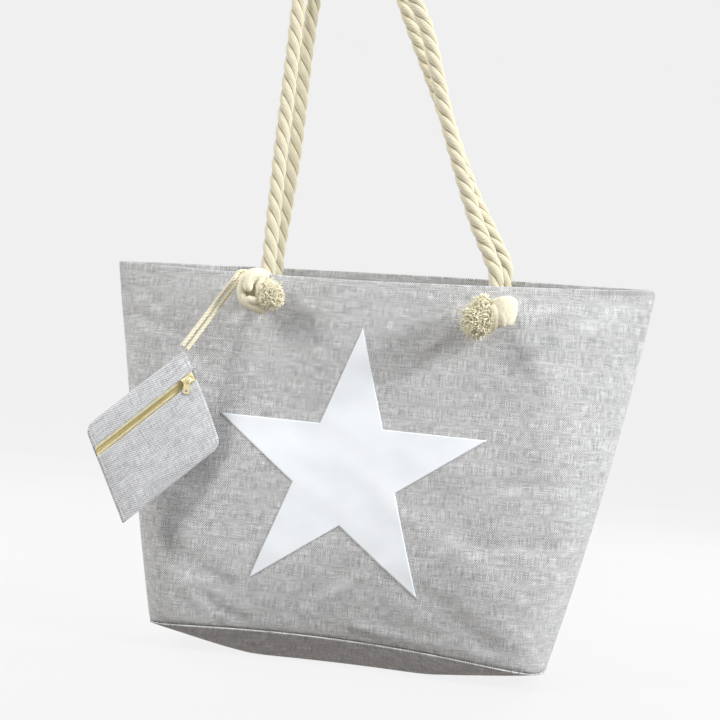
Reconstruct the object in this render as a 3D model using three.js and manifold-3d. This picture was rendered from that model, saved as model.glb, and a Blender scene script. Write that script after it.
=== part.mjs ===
// A fabric beach tote with a star print, two rope handles knotted through eyelets, and a small
// zipped pouch on a cord. Millimetres. -Y is the front with the star, +X is to the right seen from
// the front, +Z is up. The origin is the middle of the flat patch that the base stands on.
import * as THREE from 'three';
import * as BufferGeometryUtils from 'three/addons/utils/BufferGeometryUtils.js';
import Module from 'manifold-3d';

const wasm = await Module();
wasm.setup();

// ---- driving dimensions ----
const HEIGHT = 395; // where the walls reach their rim width and depth
const RIM_CORNERS = [397, 403]; // heights of the side seams' tops, left and right
const RIM_HALF_WIDTH = 286;
const BASE_HALF_WIDTH = 199;
const BASE_SHIFT = 4; // the base sits this far to the right of the rim
const WIDTH_BULGE = 6; // the side seams' bow at half height
const RIM_HALF_DEPTH = 50;
const BASE_HALF_DEPTH = 88;
const FRONT_RIM_DIP = 12;
const BACK_RIM_RISE = 8;
const SEAM_CORNERS = [24, 16]; // heights of the bottom seam's ends, left and right
const SEAM_RISE_AT_MIDDLE = 9;
const TUCK_DEPTH = 20; // the walls tuck in under their own fullness, most at the middle of the seam
const TUCK_REACH = 0.32; // share of the wall's height that the tuck reaches at the middle
const CLOTH = 1.6;
const GAP = 0.3;
const HALF_SEAM_GAP = 0.2; // front and back walls meet on the plane y = 0
const LINING_INSET = 2.2;
const LINING_THICK = 1.0;
const FACING_THICK = 1.2;
const FLAT_PATCH = 0.5; // share of the base that stands flat
const BASE_CURVE = 1.3; // how the base curves up from its flat patch to the seam
const LINED_RINGS = [FLAT_PATCH, 0.79, 0.95]; // rings of the base, as shares of its outline
const STAR_RADIUS = 143.5;
const STAR_WAIST = 0.382; // inner over outer radius of a regular star
const STAR_X = -3;
const STAR_Z = 195;
const STAR_TURN = -0.018; // radians, clockwise from the front
const FILM = 0.4;
const ROPE_RADIUS = 8;
const EYELET_BELOW_RIM = [25, 31]; // left and right
const EYELET_BORE = 8.8;
const EYELET_BARREL = 9.6;
const EYELET_FLANGE = 13;
const EYELET_HOLE = 10;
const EYELET_SHEET = 0.9;
const EYELET_STANDOFF = 1.4;
const WASHER_STANDOFF = 1.3;
const ROPE_INSIDE = 19.5; // from the wall's outer face to the rope's centre inside the bag
const TURN_AFTER = 5; // the rope turns up this far inside the wall's outer face
const HINGE_ABOVE_RIM = 2.8;
const KNOT_WIDTH = 17; // half sizes of the knot's ball
const KNOT_DEPTH = 17;
const KNOT_HEIGHT = 20;
const KNOT_NECK = 3.8; // bare rope between eyelet and knot
const KNOT_SHIFT = [5, 5]; // the ball sits this far to the right of its eyelet, left and right
const TUFT_LENGTH = 24;
const TUFT_NECK = 7.5; // radius where the frayed end leaves the knot
const TUFT_FLATNESS = 0.75;
const LEG_RISE = 9; // the handle's legs leave the hinge straight up
const CORD_RADIUS = 2;
const POUCH_LENGTH = 124;
const POUCH_HEIGHT = 103;
const POUCH_CLOTH = 1.2;
const POUCH_DOME = 1.5;
const POUCH_FRONT = 2.2; // the front sheet's outer face, above the pouch's middle plane
const POUCH_BACK = 1.4;
const ZIP_AT = 27; // from the pouch's top edge to the middle of the zip
const ZIP_HALF_GAP = 4.8;
const TAPE_LOW = 0.1;
const TAPE_HIGH = 0.7;
const TAPE_UNDER = 3; // how far the tape goes under the front sheet
const TAPE_HALF_SPLIT = 0.2;
const TAPE_MARGIN = 0.5;
const COIL_WIDTH = 3.2;
const COIL_LOW = 1;
const COIL_HIGH = 2.4;
const COIL_MARGIN = 2;
const SLIDER_AT = 9; // from the pouch's right edge
const SLIDER_LENGTH = 9;
const SLIDER_HALF_WIDTH = 4;
const SLIDER_TOP = 4;
const CHANNEL_HALF_WIDTH = 2.4; // the slider's hollow, round the coil
const CHANNEL_TOP = 2.9;
const BAIL_WIDTH = 1;
const BAIL_HALF_SPAN = 2.3;
const BAIL_HALF_EYE = 1.5;
const BAIL_EYE_TOP = 5.75;
const BAIL_TOP = 6.6;
const CHAMFER = 0.8;
const BAIL_CHAMFER = 0.6;
const PULL_AXIS_HEIGHT = 4.95;
const PULL_THICK = 0.9;
const PULL_HALF_WIDTH = 3.1;
const PULL_LENGTH = 13.5;
const PULL_EYE = [2.2, 3.6]; // half width, and its end along the pull
const PULL_SLOT = [1, 9.4, 11.4]; // half width, and its two ends along the pull
const STRAP_ENDS = [2, 1]; // each strand stops this far short of the knot's pivot and the pouch's
const STRAP_SPREAD = [1, 1.1, 1.2]; // the two cords part a little towards the pouch
const LOOP_START = [2.7, 5]; // the fixed loop begins this far above the knot's pivot
const POUCH_COLUMNS = 8;
const SIDES = 10;

// The wall's grid: columns closer together at the side seams, and rows by share of the height.
const COLUMNS = 20;
const ROWS = [0, 0.08, 0.2, 0.34, 0.5, 0.68, 0.88, 0.94, 1];
const FACING_FROM = 0.88; // the row where lining ends and facing starts

const FRONT = -1;
const BACK = 1;
const HANDLE_X = { front: [-113, 129], back: [-119, 134] };

const group = new THREE.Group();

function material(colour, roughness, metalness = 0) {
  return new THREE.MeshStandardMaterial({ color: colour, roughness, metalness });
}

const GREY_LINEN = material(0xaaa9a8, 0.9);
const POUCH_LINEN = material(0xb8babc, 0.9);
const LINING = material(0xcfc9bd, 0.85);
const FILM_WHITE = material(0xe8ebee, 0.5);
const COTTON = material(0xdfd8ba, 0.95);
const METAL = material(0xb9b8b4, 0.3, 1);
const ZIP_TAPE = material(0xdccf9a, 0.8);
const ZIP_TEETH = material(0xb09a52, 0.4, 0.6);

function add(name, geometry, finish) {
  const mesh = new THREE.Mesh(geometry, finish);
  mesh.name = name;
  group.add(mesh);
  return mesh;
}

// ---- meshes from grids and solids ----
function geometryFrom(points, triangles) {
  const geometry = new THREE.BufferGeometry();
  geometry.setAttribute('position', new THREE.Float32BufferAttribute(points.flatMap((p) => p.toArray()), 3));
  geometry.setIndex(triangles);
  return geometry;
}

// A closed sheet between an outer and an inner grid, each given as outer[row][column]. Seen from
// outside, columns run to the right and rows run up.
function sheet(outer, inner) {
  const rows = outer.length;
  const columns = outer[0].length;
  const points = [...outer.flat(), ...inner.flat()];
  const out = (r, c) => r * columns + c;
  const back = (r, c) => rows * columns + out(r, c);
  const triangles = [];
  const quad = (a, b, c, d) => triangles.push(a, b, c, a, c, d);
  for (let r = 0; r + 1 < rows; r += 1) {
    for (let c = 0; c + 1 < columns; c += 1) {
      quad(out(r, c), out(r, c + 1), out(r + 1, c + 1), out(r + 1, c));
      quad(back(r, c), back(r + 1, c), back(r + 1, c + 1), back(r, c + 1));
    }
    quad(out(r, 0), out(r + 1, 0), back(r + 1, 0), back(r, 0));
    quad(out(r + 1, columns - 1), out(r, columns - 1), back(r, columns - 1), back(r + 1, columns - 1));
  }
  for (let c = 0; c + 1 < columns; c += 1) {
    quad(out(0, c + 1), out(0, c), back(0, c), back(0, c + 1));
    quad(out(rows - 1, c), out(rows - 1, c + 1), back(rows - 1, c + 1), back(rows - 1, c));
  }
  return geometryFrom(points, triangles);
}

function toManifold(geometry) {
  const bare = geometry.clone();
  bare.deleteAttribute('normal');
  bare.deleteAttribute('uv');
  const merged = BufferGeometryUtils.mergeVertices(bare, 1e-4);
  return new wasm.Manifold(new wasm.Mesh({
    numProp: 3,
    vertProperties: new Float32Array(merged.attributes.position.array),
    triVerts: new Uint32Array(merged.index.array),
  }));
}

function fromManifold(solid) {
  const mesh = solid.getMesh();
  const geometry = new THREE.BufferGeometry();
  geometry.setAttribute('position', new THREE.BufferAttribute(mesh.vertProperties, 3));
  geometry.setIndex(new THREE.BufferAttribute(mesh.triVerts, 1));
  return geometry;
}

function tube(points, radius, steps, sides = SIDES) {
  const section = new THREE.Shape();
  for (let i = 0; i < sides; i += 1) {
    const angle = (i / sides) * 2 * Math.PI;
    const corner = [radius * Math.cos(angle), radius * Math.sin(angle)];
    if (i === 0) section.moveTo(...corner);
    else section.lineTo(...corner);
  }
  const path = new THREE.CatmullRomCurve3(points, false, 'centripetal');
  return new THREE.ExtrudeGeometry(section, { steps, bevelEnabled: false, extrudePath: path });
}

// ---- the shape of the walls ----
const mix = (from, to, share) => from + (to - from) * share;
const between = (ends, s) => mix(ends[0], ends[1], (s + 1) / 2);
const seamHeight = (s) => between(SEAM_CORNERS, s) + SEAM_RISE_AT_MIDDLE * (1 - s * s);

function rimHeight(side, s) {
  const change = side === FRONT ? -FRONT_RIM_DIP : BACK_RIM_RISE;
  return between(RIM_CORNERS, s) + change * (1 - s * s);
}

function heightShare(z) {
  return Math.min(Math.max(z / HEIGHT, 0), 1);
}

function halfWidth(z) {
  const share = heightShare(z);
  return mix(BASE_HALF_WIDTH, RIM_HALF_WIDTH, share) + 4 * WIDTH_BULGE * share * (1 - share);
}

const shift = (z) => BASE_SHIFT * (1 - heightShare(z));

// Half the outline at height z: s runs from -1 to 1 across the wall. It is a pointed lens at the
// rim, where the side seams pull it flat, and a rounded box at the base.
function outline(side, s, z, inset) {
  const share = heightShare(z);
  const halfDepth = mix(BASE_HALF_DEPTH, RIM_HALF_DEPTH, share) - inset;
  const fullness = (1 - Math.abs(s) ** mix(10, 2, share)) ** (1 / mix(3, 1, share));
  const x = shift(z) + (halfWidth(z) - inset) * s;
  return new THREE.Vector3(x, side * (HALF_SEAM_GAP + halfDepth * fullness), z);
}

// How far the wall is drawn in above the bottom seam: a dome-shaped area, tallest at the middle.
function tuck(s, row) {
  const middle = 1 - s * s;
  const reach = Math.max(TUCK_REACH * middle, 1e-6);
  return TUCK_DEPTH * middle * Math.max(1 - row / reach, 0) ** 2;
}

function wallPoint(side, s, row, inset) {
  const z = mix(seamHeight(s), rimHeight(side, s), row);
  const point = outline(side, s, z, inset);
  point.y -= side * tuck(s, row);
  return point;
}

function wallGrid(side, rows, inset) {
  return rows.map((row) => Array.from({ length: COLUMNS + 1 }, (_, c) => {
    const s = Math.sin((Math.PI / 2) * (2 * c / COLUMNS - 1));
    return wallPoint(side, -side * s, row, inset);
  }));
}

function wall(side, rows, inset, thick) {
  return sheet(wallGrid(side, rows, inset), wallGrid(side, rows, inset + thick));
}

// The wall's outer face at x and z, with the directions out of it, up it and across it.
function faceFrame(side, x, z) {
  const at = (px, pz) => outline(side, (px - shift(pz)) / halfWidth(pz), pz, 0);
  const origin = at(x, z);
  const across = at(x + 1, z).sub(at(x - 1, z)).normalize();
  const up = at(x, z + 1).sub(at(x, z - 1)).normalize();
  const out = new THREE.Vector3().crossVectors(across, up).multiplyScalar(-side).normalize();
  if (out.y * side < 0) out.negate();
  return { origin, across, up, out };
}

// ---- base ----
function basePoint(angle, ring, lift) {
  const c = (angle % (2 * COLUMNS)) / COLUMNS;
  const side = c < 1 ? FRONT : BACK;
  const s = Math.sin((Math.PI / 2) * (2 * (c % 1) - 1)) * -side;
  const seam = seamHeight(s) - GAP - CLOTH;
  const edge = wallPoint(side, s, 0, 0);
  const rise = ring <= FLAT_PATCH ? 0 : ((ring - FLAT_PATCH) / (1 - FLAT_PATCH)) ** BASE_CURVE;
  return new THREE.Vector3(edge.x * ring, edge.y * ring, seam * rise + lift);
}

// A closed dish: rings of points round the base, closed by a flat fan in the middle.
function dish(rings, lift, thick) {
  const count = 2 * COLUMNS;
  const layer = (height) => rings.flatMap((ring) => (
    Array.from({ length: count }, (_, angle) => basePoint(angle, ring, height))));
  const points = [...layer(lift), new THREE.Vector3(0, 0, lift)];
  points.push(...layer(lift + thick), new THREE.Vector3(0, 0, lift + thick));
  const perLayer = rings.length * count + 1;
  const triangles = [];
  for (let a = 0; a < count; a += 1) {
    const b = (a + 1) % count;
    triangles.push(perLayer - 1, b, a, 2 * perLayer - 1, perLayer + a, perLayer + b);
    for (let r = 0; r + 1 < rings.length; r += 1) {
      const near = r * count;
      const far = near + count;
      triangles.push(near + a, near + b, far + b, near + a, far + b, far + a);
      const n = perLayer + near;
      const f = perLayer + far;
      triangles.push(n + a, f + b, n + b, n + a, f + a, f + b);
    }
    const edge = (rings.length - 1) * count;
    triangles.push(edge + a, edge + b, perLayer + edge + b);
    triangles.push(edge + a, perLayer + edge + b, perLayer + edge + a);
  }
  return geometryFrom(points, triangles);
}

// ---- cloth pieces of the bag ----
function eyeletHoles(side) {
  return [0, 1].map((end) => {
    const frame = eyeletFrame(side, end);
    const drill = new THREE.CylinderGeometry(EYELET_HOLE, EYELET_HOLE, 40, 16);
    placeAlong(drill, frame.out, frame.up, frame.origin);
    return toManifold(drill);
  });
}

// The frame of a wall's left (0) or right (1) eyelet.
function eyeletFrame(side, end) {
  const x = HANDLE_X[side === FRONT ? 'front' : 'back'][end];
  const z = rimHeight(side, x / RIM_HALF_WIDTH) - EYELET_BELOW_RIM[end];
  return faceFrame(side, x, z);
}

// Turns a geometry whose axis is +Y so that the axis lies along out, and moves it to origin.
function placeAlong(geometry, out, up, origin) {
  const third = new THREE.Vector3().crossVectors(out, up).negate();
  const turn = new THREE.Matrix4().makeBasis(third, out, up);
  if (turn.determinant() < 0) turn.makeBasis(third.negate(), out, up);
  geometry.applyMatrix4(turn);
  geometry.translate(origin.x, origin.y, origin.z);
  return geometry;
}

function punched(geometry, side) {
  let solid = toManifold(geometry);
  for (const drill of eyeletHoles(side)) solid = solid.subtract(drill);
  return fromManifold(solid);
}

function addWalls() {
  const liningRows = ROWS.filter((row) => row < FACING_FROM);
  liningRows.push(FACING_FROM - 0.001);
  const facingRows = ROWS.filter((row) => row > FACING_FROM && row < 1);
  facingRows.unshift(FACING_FROM + 0.001);
  facingRows.push(0.998);
  for (const [name, side] of [['front', FRONT], ['back', BACK]]) {
    add(`${name}_panel`, punched(wall(side, ROWS, 0, CLOTH), side), GREY_LINEN);
    add(`${name}_facing`, punched(wall(side, facingRows, LINING_INSET, FACING_THICK), side), GREY_LINEN);
    add(`${name}_lining`, wall(side, liningRows, LINING_INSET, LINING_THICK), LINING);
  }
  add('base_panel', dish([...LINED_RINGS, 1], 0, CLOTH), GREY_LINEN);
  add('base_lining', dish(LINED_RINGS, CLOTH + GAP, LINING_THICK), LINING);
}

function addStar() {
  const shape = new THREE.Shape();
  for (let i = 0; i < 10; i += 1) {
    const radius = i % 2 ? STAR_RADIUS * STAR_WAIST : STAR_RADIUS;
    const angle = Math.PI / 2 + STAR_TURN + (i * Math.PI) / 5;
    const corner = [STAR_X + radius * Math.cos(angle), STAR_Z + radius * Math.sin(angle)];
    if (i === 0) shape.moveTo(...corner);
    else shape.lineTo(...corner);
  }
  const prism = new THREE.ExtrudeGeometry(shape, { depth: 200, bevelEnabled: false });
  prism.rotateX(Math.PI / 2);
  const skin = toManifold(wall(FRONT, ROWS, -GAP - FILM, FILM));
  add('star_print', fromManifold(toManifold(prism).intersect(skin)), FILM_WHITE);
}

// ---- eyelets, knots and ropes ----
function ring(profile) {
  const points = profile.map(([radius, height]) => new THREE.Vector2(radius, height));
  points.push(points[0].clone());
  return new THREE.LatheGeometry(points, 12);
}

function addEyelet(name, frame) {
  const inside = -LINING_INSET - FACING_THICK - WASHER_STANDOFF;
  const eyelet = ring([
    [EYELET_BORE, inside - EYELET_SHEET],
    [EYELET_BARREL, inside - EYELET_SHEET],
    [EYELET_BARREL, EYELET_STANDOFF],
    [EYELET_FLANGE, EYELET_STANDOFF],
    [EYELET_FLANGE - 1.5, EYELET_STANDOFF + EYELET_SHEET],
    [EYELET_BORE, EYELET_STANDOFF + EYELET_SHEET],
  ]);
  add(`${name}_eyelet`, placeAlong(eyelet, frame.out, frame.up, frame.origin), METAL);
  const washer = ring([
    [EYELET_BARREL + GAP, inside - EYELET_SHEET],
    [EYELET_FLANGE, inside - EYELET_SHEET],
    [EYELET_FLANGE, inside],
    [EYELET_BARREL + GAP, inside],
  ]);
  add(`${name}_washer`, placeAlong(washer, frame.out, frame.up, frame.origin), METAL);
}

const along = (origin, direction, distance) => origin.clone().addScaledVector(direction, distance);

// The rope's stretch that stays put: from the knot through the eyelet and up inside the wall.
function addRopeEnd(name, frame, hingeZ) {
  const start = along(frame.origin, frame.out, EYELET_STANDOFF + EYELET_SHEET + KNOT_NECK);
  const turn = along(frame.origin, frame.out, -TURN_AFTER);
  const inside = along(frame.origin, frame.out, -ROPE_INSIDE);
  const bend = new THREE.CurvePath();
  const top = new THREE.Vector3(inside.x, inside.y, hingeZ - GAP);
  const rising = new THREE.Vector3(inside.x, inside.y, inside.z + ROPE_INSIDE - TURN_AFTER);
  bend.add(new THREE.LineCurve3(start, turn));
  bend.add(new THREE.QuadraticBezierCurve3(turn, inside, rising));
  bend.add(new THREE.LineCurve3(rising, top));
  const section = new THREE.Shape();
  section.absarc(0, 0, ROPE_RADIUS, 0, 2 * Math.PI);
  const options = { steps: 9, bevelEnabled: false, curveSegments: 5, extrudePath: bend };
  add(`${name}_rope_end`, new THREE.ExtrudeGeometry(section, options), COTTON);
  return inside;
}

function addKnot(name, frame, shiftRight, tuft) {
  const knot = new THREE.SphereGeometry(1, 12, 8);
  knot.scale(KNOT_WIDTH, KNOT_DEPTH, KNOT_HEIGHT);
  const reach = EYELET_STANDOFF + EYELET_SHEET + KNOT_NECK + GAP + KNOT_DEPTH;
  const centre = along(frame.origin, frame.out, reach);
  centre.addScaledVector(frame.across, shiftRight);
  knot.translate(centre.x, centre.y, centre.z);
  add(`${name}_knot`, knot, COTTON);
  const brush = new THREE.LatheGeometry([
    new THREE.Vector2(0, 0),
    new THREE.Vector2(TUFT_NECK, 0),
    new THREE.Vector2(tuft.radius * 0.9, TUFT_LENGTH * 0.5),
    new THREE.Vector2(tuft.radius, TUFT_LENGTH * 0.9),
    new THREE.Vector2(0, TUFT_LENGTH),
  ], 12);
  brush.scale(TUFT_FLATNESS, 1, 1);
  const direction = tuft.direction.clone().normalize();
  const sideways = new THREE.Vector3(0, 0, 1).cross(direction).normalize();
  const up = new THREE.Vector3().crossVectors(direction, sideways).normalize();
  placeAlong(brush, direction, up, along(centre, direction, KNOT_WIDTH + 2 * GAP));
  add(`${name}_tuft`, brush, COTTON);
}

// The rope above the rim, hand-placed: straight legs, then a round bend over the shoulder.
const HANDLE_ROUTE = {
  front: [[-112.5, -18, 520], [-110, -12.6, 640], [-109, -11.2, 690], [-103.5, -10.4, 723],
    [-86, -10, 750], [-55, -9.8, 762], [-24, -10, 752], [-3, -10.6, 728], [12, -11.4, 698],
    [30, -12.4, 663], [62, -15.5, 562], [98, -20, 466]],
  back: [[-107, 19, 520], [-102, 13.2, 640], [-99, 11.4, 686], [-94, 10.6, 716],
    [-78, 10, 742], [-54, 9.8, 753], [-28, 10, 743], [-9, 10.6, 718], [5, 11.6, 686],
    [48, 15, 592], [90, 18.6, 496]],
};

function addHandle(name, left, right, hingeZ) {
  const from = new THREE.Vector3(left.x, left.y, hingeZ);
  const to = new THREE.Vector3(right.x, right.y, hingeZ);
  const lift = new THREE.Vector3(0, 0, LEG_RISE);
  const middle = HANDLE_ROUTE[name].map((p) => new THREE.Vector3(...p));
  const route = [from, from.clone().add(lift), ...middle, to.clone().add(lift), to];
  add(`${name}_handle_rope`, tube(route, ROPE_RADIUS, 34), COTTON);
}

function addHandles() {
  const tuft = (radius, ...direction) => ({ radius, direction: new THREE.Vector3(...direction) });
  const tufts = {
    front: [tuft(21, 0.95, -0.3, 0), tuft(25, -0.95, -0.2, -0.22)],
    back: [tuft(22, 0.9, 0.35, -0.25), tuft(22, -0.9, 0.4, -0.15)],
  };
  for (const [name, side] of [['front', FRONT], ['back', BACK]]) {
    const rims = HANDLE_X[name].map((x) => rimHeight(side, x / RIM_HALF_WIDTH));
    const hingeZ = Math.max(...rims) + HINGE_ABOVE_RIM;
    const legs = HANDLE_X[name].map((x, i) => {
      const label = `${name}_${i === 0 ? 'left' : 'right'}`;
      const frame = eyeletFrame(side, i);
      addEyelet(label, frame);
      addKnot(label, frame, KNOT_SHIFT[i], tufts[name][i]);
      return addRopeEnd(label, frame, hingeZ);
    });
    addHandle(name, legs[0], legs[1], hingeZ);
  }
}

// ---- pouch ----
// The pouch hangs by its top right corner, pulled on the bias so that the corner is under 90 degrees.
const POUCH_CORNER = new THREE.Vector3(-172.5, -94, 304);
const POUCH_ALONG = new THREE.Vector3(-0.683, -0.243, -0.689).normalize();
const POUCH_DOWN = new THREE.Vector3(0.403, 0.193, -0.895).normalize();
const POUCH_OUT = new THREE.Vector3().crossVectors(POUCH_ALONG, POUCH_DOWN).normalize();
if (POUCH_OUT.y > 0) POUCH_OUT.negate();
const POUCH_MARGIN = 2; // the cloth starts this far from the pivot at the corner

function pouchPoint(u, v, w) {
  return POUCH_CORNER.clone()
    .addScaledVector(POUCH_ALONG, u + POUCH_MARGIN)
    .addScaledVector(POUCH_DOWN, v + POUCH_MARGIN)
    .addScaledVector(POUCH_OUT, w);
}

function dome(u, v) {
  const across = 1 - (2 * u / POUCH_LENGTH - 1) ** 4;
  const down = 1 - (2 * v / POUCH_HEIGHT - 1) ** 4;
  return POUCH_DOME * across * down;
}

// A sheet over the pouch from v0 to v1, between the heights low and high, on the side 1 or -1.
function pouchSheet(from, to, rows, low, high, side, margin, bulge) {
  const grid = (height) => Array.from({ length: rows + 1 }, (_, r) => {
    const v = mix(to, from, r / rows);
    return Array.from({ length: POUCH_COLUMNS + 1 }, (_, c) => {
      const share = side > 0 ? c / POUCH_COLUMNS : 1 - c / POUCH_COLUMNS;
      const u = mix(POUCH_LENGTH - margin, margin, share);
      return pouchPoint(u, v, side * (height + bulge(u, v)));
    });
  });
  return sheet(grid(high), grid(low));
}

function addPouch() {
  const upper = ZIP_AT - ZIP_HALF_GAP;
  const lower = ZIP_AT + ZIP_HALF_GAP;
  const cloth = (from, to, rows, out, side) =>
    pouchSheet(from, to, rows, out - POUCH_CLOTH, out, side, 0, dome);
  add('pouch_back', cloth(0, POUCH_HEIGHT, 6, POUCH_BACK, -1), POUCH_LINEN);
  add('pouch_front_upper', cloth(0, upper, 2, POUCH_FRONT, 1), POUCH_LINEN);
  add('pouch_front_lower', cloth(lower, POUCH_HEIGHT, 4, POUCH_FRONT, 1), POUCH_LINEN);
  const level = () => 0;
  const tape = (from, to) => pouchSheet(from, to, 1, TAPE_LOW, TAPE_HIGH, 1, TAPE_MARGIN, level);
  add('zip_tape_upper', tape(upper - TAPE_UNDER, ZIP_AT - TAPE_HALF_SPLIT), ZIP_TAPE);
  add('zip_tape_lower', tape(ZIP_AT + TAPE_HALF_SPLIT, lower + TAPE_UNDER), ZIP_TAPE);
  const edges = [ZIP_AT - COIL_WIDTH / 2, ZIP_AT + COIL_WIDTH / 2];
  add('zip_coil', pouchSheet(...edges, 1, COIL_LOW, COIL_HIGH, 1, COIL_MARGIN, level), ZIP_TEETH);
}

// A frame on the zip with z out of the pouch and x along the zip, away from the slider's end.
function zipMatrix(u, w) {
  const across = new THREE.Vector3().crossVectors(POUCH_OUT, POUCH_ALONG).normalize();
  const turn = new THREE.Matrix4().makeBasis(POUCH_ALONG, across, POUCH_OUT);
  return turn.setPosition(pouchPoint(u, ZIP_AT, w));
}

function extrudeOutline(corners, depth, holes = []) {
  const shape = new THREE.Shape(corners.map(([x, y]) => new THREE.Vector2(x, y)));
  for (const hole of holes) {
    shape.holes.push(new THREE.Path(hole.map(([x, y]) => new THREE.Vector2(x, y))));
  }
  return new THREE.ExtrudeGeometry(shape, { depth, bevelEnabled: false });
}

// An outline that is the same on both sides of x = 0, from its right half.
function mirrored(half) {
  return [...half.map(([x, y]) => [-x, y]).reverse(), ...half];
}

function addSlider() {
  // The body straddles the coil; the bail is a narrow arch along the zip over the pull's bar.
  const channel = extrudeOutline([
    [-CHANNEL_HALF_WIDTH, COIL_LOW],
    [-CHANNEL_HALF_WIDTH, CHANNEL_TOP],
    [CHANNEL_HALF_WIDTH, CHANNEL_TOP],
    [CHANNEL_HALF_WIDTH, COIL_LOW],
    [SLIDER_HALF_WIDTH, COIL_LOW],
    [SLIDER_HALF_WIDTH, SLIDER_TOP - CHAMFER],
    [SLIDER_HALF_WIDTH - CHAMFER, SLIDER_TOP],
    [CHAMFER - SLIDER_HALF_WIDTH, SLIDER_TOP],
    [-SLIDER_HALF_WIDTH, SLIDER_TOP - CHAMFER],
    [-SLIDER_HALF_WIDTH, COIL_LOW],
  ], SLIDER_LENGTH);
  channel.rotateX(Math.PI / 2);
  channel.rotateZ(Math.PI / 2);
  channel.translate(-SLIDER_LENGTH / 2, 0, 0);
  const foot = SLIDER_TOP - GAP;
  const arch = extrudeOutline([
    [-BAIL_HALF_SPAN, foot],
    [-BAIL_HALF_EYE, foot],
    [-BAIL_HALF_EYE, BAIL_EYE_TOP],
    [BAIL_HALF_EYE, BAIL_EYE_TOP],
    [BAIL_HALF_EYE, foot],
    [BAIL_HALF_SPAN, foot],
    [BAIL_HALF_SPAN, BAIL_TOP - BAIL_CHAMFER],
    [BAIL_HALF_SPAN - BAIL_CHAMFER, BAIL_TOP],
    [BAIL_CHAMFER - BAIL_HALF_SPAN, BAIL_TOP],
    [-BAIL_HALF_SPAN, BAIL_TOP - BAIL_CHAMFER],
  ], BAIL_WIDTH);
  arch.rotateX(Math.PI / 2);
  arch.translate(0, BAIL_WIDTH / 2, 0);
  const body = fromManifold(toManifold(channel).add(toManifold(arch)));
  body.applyMatrix4(zipMatrix(SLIDER_AT, 0));
  add('zip_slider', body, METAL);
}

// The pull hangs straight down in the pouch's plane, its bar under the slider's bail.
function addPull() {
  const plumb = new THREE.Vector3(0, 0, -1);
  const hang = plumb.addScaledVector(POUCH_OUT, -plumb.dot(POUCH_OUT)).normalize();
  const across = new THREE.Vector3().crossVectors(hang, POUCH_OUT).normalize();
  const half = PULL_THICK / 2;
  const plate = extrudeOutline(mirrored([
    [PULL_HALF_WIDTH, -half],
    [PULL_HALF_WIDTH, PULL_LENGTH - 2 * CHAMFER],
    [PULL_HALF_WIDTH - CHAMFER, PULL_LENGTH],
  ]), PULL_THICK, [
    mirrored([[PULL_EYE[0], half], [PULL_EYE[0], PULL_EYE[1]]]),
    mirrored([[PULL_SLOT[0], PULL_SLOT[1]], [PULL_SLOT[0], PULL_SLOT[2]]]),
  ]);
  plate.translate(0, 0, -half);
  plate.applyMatrix4(new THREE.Matrix4().makeBasis(across, hang, POUCH_OUT));
  const at = pouchPoint(SLIDER_AT, ZIP_AT, PULL_AXIS_HEIGHT);
  plate.translate(at.x, at.y, at.z);
  add('zip_pull', plate, METAL);
}

// ---- the pouch's cord: doubled, sewn into its corner and looped round the front left knot's neck ----
const STRAP_PIVOT = new THREE.Vector3(-133, -62, 382);
const STRAP_HALF_WIDTH = 2.5; // between the doubled cord's two centre lines, halved
// Each half of the loop goes behind the knot's shoulder and round the rope's neck.
const STRAP_OVER = {
  upper: [[-124, -57, 388], [-114, -53, 386.4], [-102, -52.4, 382.4]],
  lower: [[-125, -53, 380.5], [-115.5, -51.8, 378.4], [-108, -51.3, 376.6]],
};

function addStrap() {
  const down = POUCH_CORNER.clone().sub(STRAP_PIVOT);
  const length = down.length();
  down.normalize();
  const sideways = new THREE.Vector3().crossVectors(down, POUCH_OUT).normalize();
  if (sideways.x > 0) sideways.negate();
  const beside = (distance, offset) => along(STRAP_PIVOT, down, distance).addScaledVector(sideways, offset);
  for (const [name, sign] of [['upper', 1], ['lower', -1]]) {
    const offsets = STRAP_SPREAD.map((share) => sign * STRAP_HALF_WIDTH * share);
    const strand = [
      beside(STRAP_ENDS[0], offsets[0]),
      beside(length / 2, offsets[1]),
      beside(length - STRAP_ENDS[1], offsets[2]),
    ];
    add(`strap_strand_${name}`, tube(strand, CORD_RADIUS, 4, 8), COTTON);
    const loop = LOOP_START.map((distance) => beside(-distance, offsets[0]));
    loop.push(...STRAP_OVER[name].map((p) => new THREE.Vector3(...p)));
    add(`strap_loop_${name}`, tube(loop, CORD_RADIUS, 8, 8), COTTON);
  }
}

addWalls();
addStar();
addHandles();
addPouch();
addSlider();
addPull();
addStrap();

export default group;
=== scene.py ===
"""A beach tote with a star, two rope handles and a small zipped pouch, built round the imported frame.

Metres throughout. -Y is the front with the star, +X is to the right, +Z is up.
"""
import math

import bpy
import numpy as np
from mathutils import Matrix, Vector


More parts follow.
